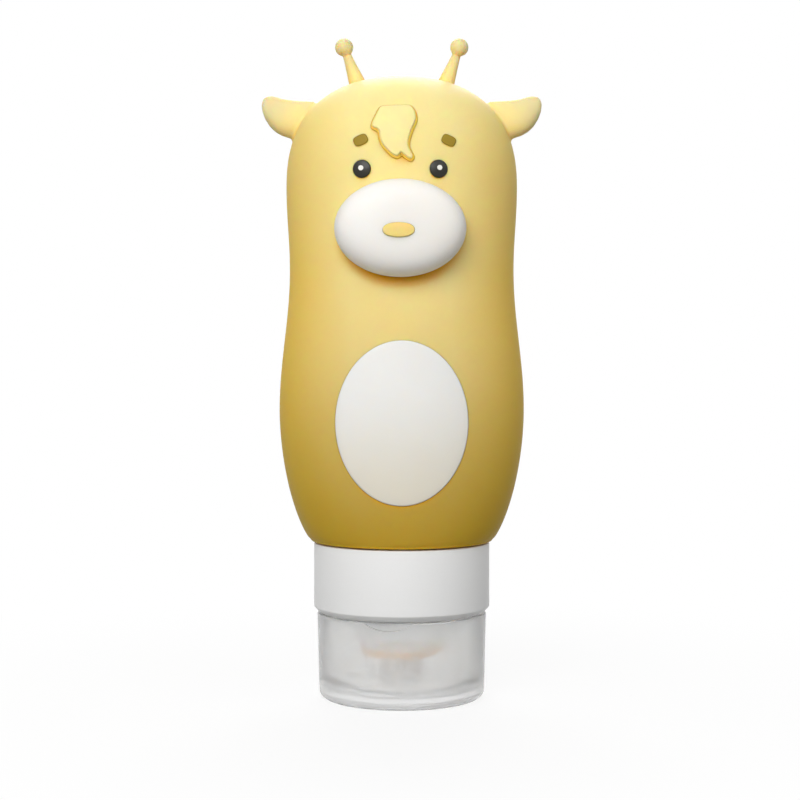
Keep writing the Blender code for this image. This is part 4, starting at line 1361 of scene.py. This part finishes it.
@dataclass(frozen=True)
class CapForm:
    """Sizes that the neck, the gasket, the collar, the valve and the lid share."""

    turn: float = math.radians(-9.0)
    lid_foot: float = field(default_factory=lambda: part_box("flip_lid")[0].z)
    lid_height: float = 17.7 * MM
    collar_top: float = field(default_factory=lambda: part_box("screw_collar")[1].z)
    collar_radius: float = 17.93 * MM
    collar_wall: float = 1.73 * MM
    lid_set_in: float = 0.68 * MM
    lid_wall: float = 1.55 * MM
    deck: float = 1.6 * MM
    dome_height: float = 5.3 * MM
    dome_base: float = 13.0 * MM
    dome_top: float = 11.8 * MM
    nozzle_radius: float = 7.2 * MM
    nozzle_bore: float = 5.2 * MM
    nozzle_length: float = 2.0 * MM
    valve_face: float = 1.1 * MM
    hinge_out: float = 1.07 * MM
    knuckle_radius: float = 2.0 * MM
    knuckle_width: float = 8.0 * MM
    knuckle_edge: float = 0.15 * MM
    pin_radius: float = 0.95 * MM
    lug_width: float = 2.3 * MM
    thread_pitch: float = 3.0 * MM
    thread_turns: float = 1.25
    thread_foot: float = 1.6 * MM
    thread_root: float = 1.1 * MM
    thread_crest: float = 0.5 * MM
    thread_play: float = 0.25 * MM
    overlap: float = 0.1 * MM

    @property
    def seam(self) -> float:
        """Height of the seam between lid and collar."""
        return self.lid_foot + self.lid_height

    @property
    def skirt(self) -> float:
        """Inner radius of the collar's skirt."""
        return self.collar_radius - self.collar_wall

    @property
    def lid_rim(self) -> float:
        """Outer radius of the lid at its rim."""
        return self.collar_radius - self.lid_set_in

    @property
    def dome_face(self) -> float:
        """Height of the dome's face, which looks down."""
        return self.seam - self.dome_height

    @property
    def nozzle_end(self) -> float:
        """Height of the nozzle's end."""
        return self.dome_face - self.nozzle_length

    @property
    def valve_end(self) -> float:
        """Height of the valve's face."""
        return self.nozzle_end - GAP - self.valve_face

    @property
    def hinge(self) -> Flat:
        """Y and Z of the hinge's axis, before the cap is turned."""
        return self.collar_radius + self.hinge_out, self.seam - GAP / 2

    def placed(self, mesh: Mesh) -> Mesh:
        """Turn a mesh with the cap, which is screwed on a little towards -X."""
        mesh.transform(Matrix.Rotation(self.turn, 4, "Z"))
        return mesh

    def knuckle_round(self, start: float, end: float) -> Outline:
        """Return the round end of a lug or the knuckle, about the hinge's axis."""
        return arc(self.hinge, self.knuckle_radius, start, end, 24)

    def thread(self, root: float, crest: float, start: float) -> Mesh:
        """Make one thread: a ridge that is broad at its root and narrow at its crest.

        Args:
            root: Radius of its root.
            crest: Radius of its crest, outside the root or inside it.
            start: Height of its lower edge.

        Returns:
            A closed mesh.
        """
        low = start + (self.thread_root - self.thread_crest) / 2
        section = [(root, start), (crest, low), (crest, low + self.thread_crest),
                   (root, start + self.thread_root)]
        return helix_ridge(section, self.thread_pitch, self.thread_turns, "thread")


@dataclass
class Neck:
    """The rigid threaded neck in the silicone mouth, and the gasket between it and the cap's deck."""

    cap: CapForm
    flange_radius: float = 16.6 * MM
    flange_thickness: float = 1.5 * MM
    groove_radius: float = 13.6 * MM
    groove_wall: float = 1.6 * MM
    core_inset: float = 0.95 * MM
    core_slope: float = 0.5 * MM
    crest_inset: float = 0.2 * MM
    collar_part: float = 1.2 * MM
    edge: float = 0.2 * MM
    gasket_width: float = 2.8 * MM
    gasket_edge: float = 0.35 * MM

    def ring(self) -> Mesh:
        """Make the neck: flange, groove, plain collar, core and its right-handed thread.

        Returns:
            A closed mesh.
        """
        cap = self.cap
        low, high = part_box("neck_ring")
        radius, top = cap.skirt - GAP, cap.collar_top
        core = radius - self.core_inset
        flange = high.z - self.flange_thickness
        bore = self.groove_radius - self.groove_wall
        profile = rounded([
            (bore, high.z), (self.flange_radius, high.z), (self.flange_radius, flange),
            (self.groove_radius, flange), (self.groove_radius, top), (radius, top),
            (radius, top - self.collar_part), (core, top - self.collar_part - self.core_slope),
            (core, low.z), (bore, low.z),
        ], self.edge, closed=True)
        thread = cap.thread(core - cap.overlap, radius - self.crest_inset, low.z + cap.thread_foot)
        return combine(turned(profile, "neck_ring", closed=True), [thread], Cut.JOIN)

    def gasket(self) -> Mesh:
        """Make the flat ring with softly rounded edges.

        Returns:
            A closed mesh.
        """
        low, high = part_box("gasket")
        outer = (high.x - low.x) / 2
        inner = outer - self.gasket_width
        section = [(inner, high.z), (outer, high.z), (outer, low.z), (inner, low.z)]
        return turned(rounded(section, self.gasket_edge, closed=True), "gasket", closed=True)

    def build(self) -> None:
        """Make and dress the neck and the gasket."""
        dress(self.ring(), WHITE_PLASTIC.build(), "bottle", ["neck_ring"])
        dress(self.gasket(), CLEAR.build(), "seal", ["gasket"])


@dataclass
class ScrewCap:
    """The screw collar with its thread, deck, dome, nozzle and hinge lugs, and the slit valve on it."""

    cap: CapForm
    chamfer: Flat = (1.0 * MM, 1.1 * MM)
    locating_ring: Flat = (15.3 * MM, 1.3 * MM)
    locating_wall: float = 0.9 * MM
    dome_corner: float = 1.8 * MM
    dome_wall: float = 1.5 * MM
    top_edge: float = 0.35 * MM
    outer_edge: float = 0.15 * MM
    inner_edge: float = 0.2 * MM
    groove: Triple = (0.4 * MM, 0.4 * MM, 1.05 * MM)
    lug_height: float = 4.2 * MM
    thread_depth: float = 0.75 * MM
    valve_wall: float = 1.0 * MM
    valve_edge: float = 0.3 * MM
    dish: Flat = (3.6 * MM, 0.8 * MM)
    dish_back_share: float = 1.25
    slit: Flat = (5.0 * MM, 0.2 * MM)

    def profile(self) -> Outline:
        """Draw the collar's whole section, from the top of its skirt round its outside and back inside.

        Returns:
            Radii and heights of a closed line.
        """
        cap = self.cap
        wide, tall = self.chamfer
        ring, drop = self.locating_ring
        deep, back, long = self.groove
        groove_top = cap.dome_face - back
        outer = [
            (cap.collar_radius, cap.collar_top), (cap.collar_radius, cap.seam + tall),
            (cap.collar_radius - wide, cap.seam), (ring, cap.seam), (ring, cap.seam - drop),
            (ring - self.locating_wall, cap.seam - drop), (ring - self.locating_wall, cap.seam),
            (cap.dome_base, cap.seam),
        ]
        corner = (cap.dome_top - self.dome_corner, cap.dome_face + self.dome_corner)
        nozzle = [
            (cap.nozzle_radius, cap.dome_face), (cap.nozzle_radius, groove_top),
            (cap.nozzle_radius - deep, groove_top), (cap.nozzle_radius - deep, groove_top - long),
            (cap.nozzle_radius, groove_top - long), (cap.nozzle_radius, cap.nozzle_end),
        ]
        inner_face, deck = cap.dome_face + self.dome_wall, cap.seam + cap.deck
        inside = [
            (cap.nozzle_bore, cap.nozzle_end), (cap.nozzle_bore, inner_face),
            (cap.dome_top - self.dome_wall, inner_face), (cap.dome_base - self.dome_wall, deck),
            (cap.skirt, deck), (cap.skirt, cap.collar_top),
        ]
        top_middle = (cap.collar_radius - self.top_edge, cap.collar_top - self.top_edge)
        top = [(top_middle[0], cap.collar_top)] + arc(top_middle, self.top_edge, 80, 0, 6)
        dome = rounded(outer, self.outer_edge)[1:] + arc(corner, self.dome_corner, 0, -90, 10)
        return top + dome + rounded([dome[-1]] + nozzle + inside, self.inner_edge)[1:]

    def collar(self) -> Mesh:
        """Make the collar: its turned form, inner thread, two lugs, the knuckle's recess and the pin bore.

        Returns:
            A closed mesh.
        """
        cap = self.cap
        hinge_y, hinge_z = cap.hinge
        inner_y = cap.lid_rim - cap.lid_wall - GAP
        lug = cap.knuckle_round(-180, 90) + [
            (cap.collar_radius - self.chamfer[0], hinge_z + self.lug_height),
            (inner_y, hinge_z + self.lug_height), (inner_y, cap.seam),
            (hinge_y - cap.knuckle_radius, cap.seam),
        ]
        near = cap.knuckle_width / 2 + GAP
        far = near + cap.lug_width
        low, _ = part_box("neck_ring")
        start = low.z + cap.thread_foot + cap.thread_root + cap.thread_play
        joined = [prism(lug, -far, -near + cap.overlap, cap.knuckle_edge, "lug"),
                  prism(lug, near - cap.overlap, far, cap.knuckle_edge, "lug"),
                  cap.thread(cap.skirt + cap.overlap, cap.skirt - self.thread_depth, start)]
        body = combine(turned(self.profile(), "screw_collar", steps=144, closed=True), joined, Cut.JOIN)
        recess = rod(cap.knuckle_radius + GAP, Vector((-near, hinge_y, hinge_z)),
                     Vector((near, hinge_y, hinge_z)), "recess")
        bore = rod(cap.pin_radius + GAP / 2, Vector((-far - OVERRUN, hinge_y, hinge_z)),
                   Vector((far + OVERRUN, hinge_y, hinge_z)), "bore", steps=36)
        return cap.placed(combine(body, [recess, bore], Cut.REMOVE))

    def valve(self) -> Mesh:
        """Make the slit valve: a cup whose bead grips the nozzle, with a dished face and a cross slit.

        Returns:
            A closed mesh.
        """
        cap = self.cap
        inner = cap.nozzle_radius + GAP / 2
        outer = cap.nozzle_radius + GAP + self.valve_wall
        top = cap.dome_face - GAP
        floor = cap.nozzle_end - GAP / 2
        radius, deep = self.dish
        bead, back, long = self.groove
        dish = [(radius * share, deep * (1 - share * share)) for share in (0.0, 0.25, 0.5, 0.75, 1.0)]
        cup = [
            (inner, floor), (inner, top - back - long / 2), (inner - bead, top - back - long / 2),
            (inner - bead, top - back), (inner, top - back), (inner, top), (outer, top),
            (outer, cap.valve_end),
        ]
        profile = [(r * self.dish_back_share, floor + h) for r, h in dish] + cup
        profile += [(r, cap.valve_end + h) for r, h in reversed(dish)]
        body = turned(rounded(profile, self.valve_edge), "drip_valve", steps=96)
        long_side, thin = self.slit
        height = floor - cap.valve_end + deep + 2 * OVERRUN
        centre = Vector((0.0, 0.0, cap.valve_end - OVERRUN + height / 2))
        slits = [block(Vector((x, y, height)), centre, "slit")
                 for x, y in ((long_side, thin), (thin, long_side))]
        return cap.placed(combine(body, slits, Cut.REMOVE))

    def build(self) -> None:
        """Make and dress the collar and the valve."""
        dress(self.collar(), WHITE_PLASTIC.build(), "cap", ["screw_collar"])
        dress(self.valve(), VALVE.build(), "cap", ["drip_valve"])


@dataclass
class FlipLid:
    """The frosted flip-top lid: wall, floor, sealing ring, thumb notch, knuckle and stub pins."""

    cap: CapForm
    end_radius: float = 16.9 * MM
    corner: float = 2.0 * MM
    end_wall: float = 1.9 * MM
    inner_corner: float = 4.5 * MM
    seal_radius: float = 4.3 * MM
    seal_wall: float = 1.0 * MM
    seal_edge: float = 0.3 * MM
    rim_edge: float = 0.25 * MM
    pin_edge: float = 0.2 * MM
    notch: Flat = (10.0 * MM, 1.6 * MM)
    notch_inset: float = 1.15 * MM
    web_height: float = 4.8 * MM
    web_angle: float = -50.0

    def profile(self) -> Outline:
        """Draw the lid's section: floor, sealing ring, bowl, rim, wall and end face.

        Returns:
            Radii and heights of a line with both ends on the axis.
        """
        cap = self.cap
        rim = cap.seam - GAP
        inner = cap.lid_rim - cap.lid_wall
        bowl_radius = self.end_radius - cap.lid_wall
        bowl = (bowl_radius - self.inner_corner, self.end_wall + self.inner_corner)
        foot = (self.end_radius - self.corner, self.corner)
        seal_end = cap.valve_end - GAP / 2
        seal = [(0.0, self.end_wall), (self.seal_radius - self.seal_wall, self.end_wall),
                (self.seal_radius - self.seal_wall, seal_end), (self.seal_radius, seal_end),
                (self.seal_radius, self.end_wall), (bowl[0], self.end_wall)]
        wall = [(bowl_radius, bowl[1]), (inner, rim), (cap.lid_rim, rim), (self.end_radius, foot[1])]
        return (rounded(seal, self.seal_edge)[:-1] + arc(bowl, self.inner_corner, -90, 0, 14)
                + rounded(wall, self.rim_edge)[1:-1] + arc(foot, self.corner, 0, -90, 10) + [(0.0, 0.0)])

    def build(self) -> None:
        """Make and dress the lid."""
        cap = self.cap
        hinge_y, hinge_z = cap.hinge
        rim = cap.seam - GAP
        web_y = cap.lid_rim - cap.lid_wall / 2
        rim_angle = 180 + math.degrees(math.asin(GAP / 2 / cap.knuckle_radius))
        outline = cap.knuckle_round(self.web_angle, rim_angle) + [
            (web_y, rim), (web_y, rim - self.web_height), (cap.lid_rim, rim - self.web_height)]
        half = cap.knuckle_width / 2
        knuckle = prism(outline, -half, half, cap.knuckle_edge, "knuckle")
        ends = [Vector((x, hinge_y, hinge_z)) for x in (-half - cap.lug_width, half + cap.lug_width)]
        pin = rod(cap.pin_radius, *ends, "pin", steps=36, edge=self.pin_edge)
        lid = combine(turned(self.profile(), "flip_lid", steps=144), [knuckle, pin], Cut.JOIN)
        wide, deep = self.notch
        radius = (wide ** 2 / 4 + deep ** 2) / (2 * deep)
        inner = cap.lid_rim - self.notch_inset
        middle = rim + radius - deep
        notch = rod(radius, Vector((0.0, -inner, middle)), Vector((0.0, -inner - radius, middle)), "notch",
                    steps=144)
        lid = cap.placed(combine(lid, [notch], Cut.REMOVE))
        dress(lid, FROSTED_PLASTIC.build(), "lid", ["flip_lid"])


@dataclass(frozen=True)
class Lamp:
    """A soft square lamp that looks at the middle of the bottle."""

    name: str
    place: Triple
    size: float
    power: float
    aim: Triple = (0.0, 0.0, 0.07)

    def build(self) -> None:
        """Hang the lamp and turn it."""
        light = bpy.data.lights.new(self.name, "AREA")
        light.shape = "SQUARE"
        light.size = self.size
        light.energy = self.power
        holder = bpy.data.objects.new(self.name, light)
        holder.location = self.place
        holder.rotation_euler = (Vector(self.aim) - Vector(self.place)).to_track_quat("-Z", "Y").to_euler()
        bpy.context.scene.collection.objects.link(holder)


@dataclass
class Studio:
    """A white sweep, soft lamps from the upper left front, and the camera at the photograph's place."""

    camera_place: Triple = (-0.35 * MM, -380.0 * MM, 73.0 * MM)
    camera_shift: float = -0.075
    camera_near: float = 0.01
    lens: float = 83.43
    sensor: float = 36.0
    floor_radius: float = 4.0
    shadow_reach: Flat = (0.03, 0.15)
    shadow_share: float = 0.13
    paper: float = 0.8
    bounce: float = 0.3
    ambient: float = 0.2
    lamps: tuple[Lamp, ...] = (
        Lamp("key_lamp", (-0.17, -0.70, 0.46), 0.5, 4.8),
        Lamp("left_lamp", (-0.40, -0.36, 0.50), 0.4, 0.6),
        Lamp("right_lamp", (0.40, -0.36, 0.50), 0.4, 0.75),
        Lamp("back_lamp", (0.0, 0.55, 0.60), 0.5, 4.2),
    )

    @staticmethod
    def seen_ray(tree: Tree) -> Socket:
        """Tell the rays that show a thing from those that light the object.

        Args:
            tree: The node tree that asks.

        Returns:
            1 for rays from the camera, reflections and clear plastic, and 0 for light on the object.
        """
        path = add_node(tree, "ShaderNodeLightPath")
        first = add_node(tree, "ShaderNodeMath", {
            0: path.outputs["Is Camera Ray"], 1: path.outputs["Is Glossy Ray"]}, operation="MAXIMUM")
        both = add_node(tree, "ShaderNodeMath", {
            0: first.outputs[0], 1: path.outputs["Is Transmission Ray"]}, operation="MAXIMUM")
        return both.outputs[0]

    def floor(self) -> None:
        """Lay the floor: white where the camera sees it, with the object's shadow left in it."""
        shape = bmesh.new()
        bmesh.ops.create_circle(shape, cap_ends=True, segments=96, radius=self.floor_radius)
        mesh = bpy.data.meshes.new("studio_floor")
        shape.to_mesh(mesh)
        shape.free()
        material, tree = empty_material("matte_white_paper")
        place = add_node(tree, "ShaderNodeTexCoord").outputs["Object"]
        away = add_node(tree, "ShaderNodeVectorMath", {0: place}, operation="LENGTH").outputs["Value"]
        fade = add_node(tree, "ShaderNodeMapRange", {
            "Value": away, "From Min": self.shadow_reach[0], "From Max": self.shadow_reach[1],
            "To Min": 1.0 - self.shadow_share, "To Max": 1.0}, interpolation_type="SMOOTHSTEP")
        seen = self.seen_ray(tree)
        share = add_node(tree, "ShaderNodeMath", {0: fade.outputs[0], 1: seen}, operation="MULTIPLY")
        tone = add_node(tree, "ShaderNodeMix", {
            0: seen, 6: [self.bounce] * 3 + [1.0], 7: [self.paper] * 3 + [1.0]}, data_type="RGBA")
        paper = add_node(tree, "ShaderNodeBsdfDiffuse", {"Color": tone.outputs[2]})
        white = add_node(tree, "ShaderNodeEmission", {"Color": WHITE_LIGHT, "Strength": 1.0})
        mixed = add_node(tree, "ShaderNodeMixShader", {
            0: share.outputs[0], 1: paper.outputs[0], 2: white.outputs[0]})
        add_node(tree, "ShaderNodeOutputMaterial", {"Surface": mixed.outputs[0]})
        mesh.materials.append(material)
        sheet = bpy.data.objects.new("studio_floor", mesh)
        bpy.context.scene.collection.objects.link(sheet)

    def surround(self) -> None:
        """Set a white surround that lights the object only a little."""
        world = bpy.data.worlds.new("studio")
        world.use_nodes = True
        tree = world.node_tree
        tree.nodes.clear()
        dim = add_node(tree, "ShaderNodeBackground", {"Color": WHITE_LIGHT, "Strength": self.ambient})
        white = add_node(tree, "ShaderNodeBackground", {"Color": WHITE_LIGHT, "Strength": 1.0})
        mixed = add_node(tree, "ShaderNodeMixShader", {
            0: self.seen_ray(tree), 1: dim.outputs[0], 2: white.outputs[0]})
        add_node(tree, "ShaderNodeOutputWorld", {"Surface": mixed.outputs[0]})
        bpy.context.scene.world = world

    def camera(self) -> None:
        """Place a level camera straight before the bottle, its view shifted down a little."""
        camera = bpy.data.cameras.new("camera")
        camera.lens = self.lens
        camera.sensor_width = self.sensor
        camera.clip_start = self.camera_near
        camera.shift_y = self.camera_shift
        holder = bpy.data.objects.new("camera", camera)
        holder.location = self.camera_place
        holder.rotation_euler = (math.pi / 2, 0.0, 0.0)
        scene = bpy.context.scene
        scene.collection.objects.link(holder)
        scene.camera = holder
        scene.view_settings.view_transform = "Standard"

    def build(self) -> None:
        """Set floor, surround, lamps and camera."""
        self.floor()
        self.surround()
        for lamp in self.lamps:
            lamp.build()
        self.camera()


def main() -> None:
    """Build every piece in order, then the studio."""
    logging.basicConfig(level=logging.INFO, format="%(name)s: %(message)s")
    form, cap = BottleForm(), CapForm()
    face, bottle = Face(form), SqueezeBottle(form)
    bottle.build(face.seats(bottle.seat_gap, bottle.seat_depth))
    face.build()
    Neck(cap).build()
    ScrewCap(cap).build()
    FlipLid(cap).build()
    Studio().build()


if __name__ == "__main__":
    main()
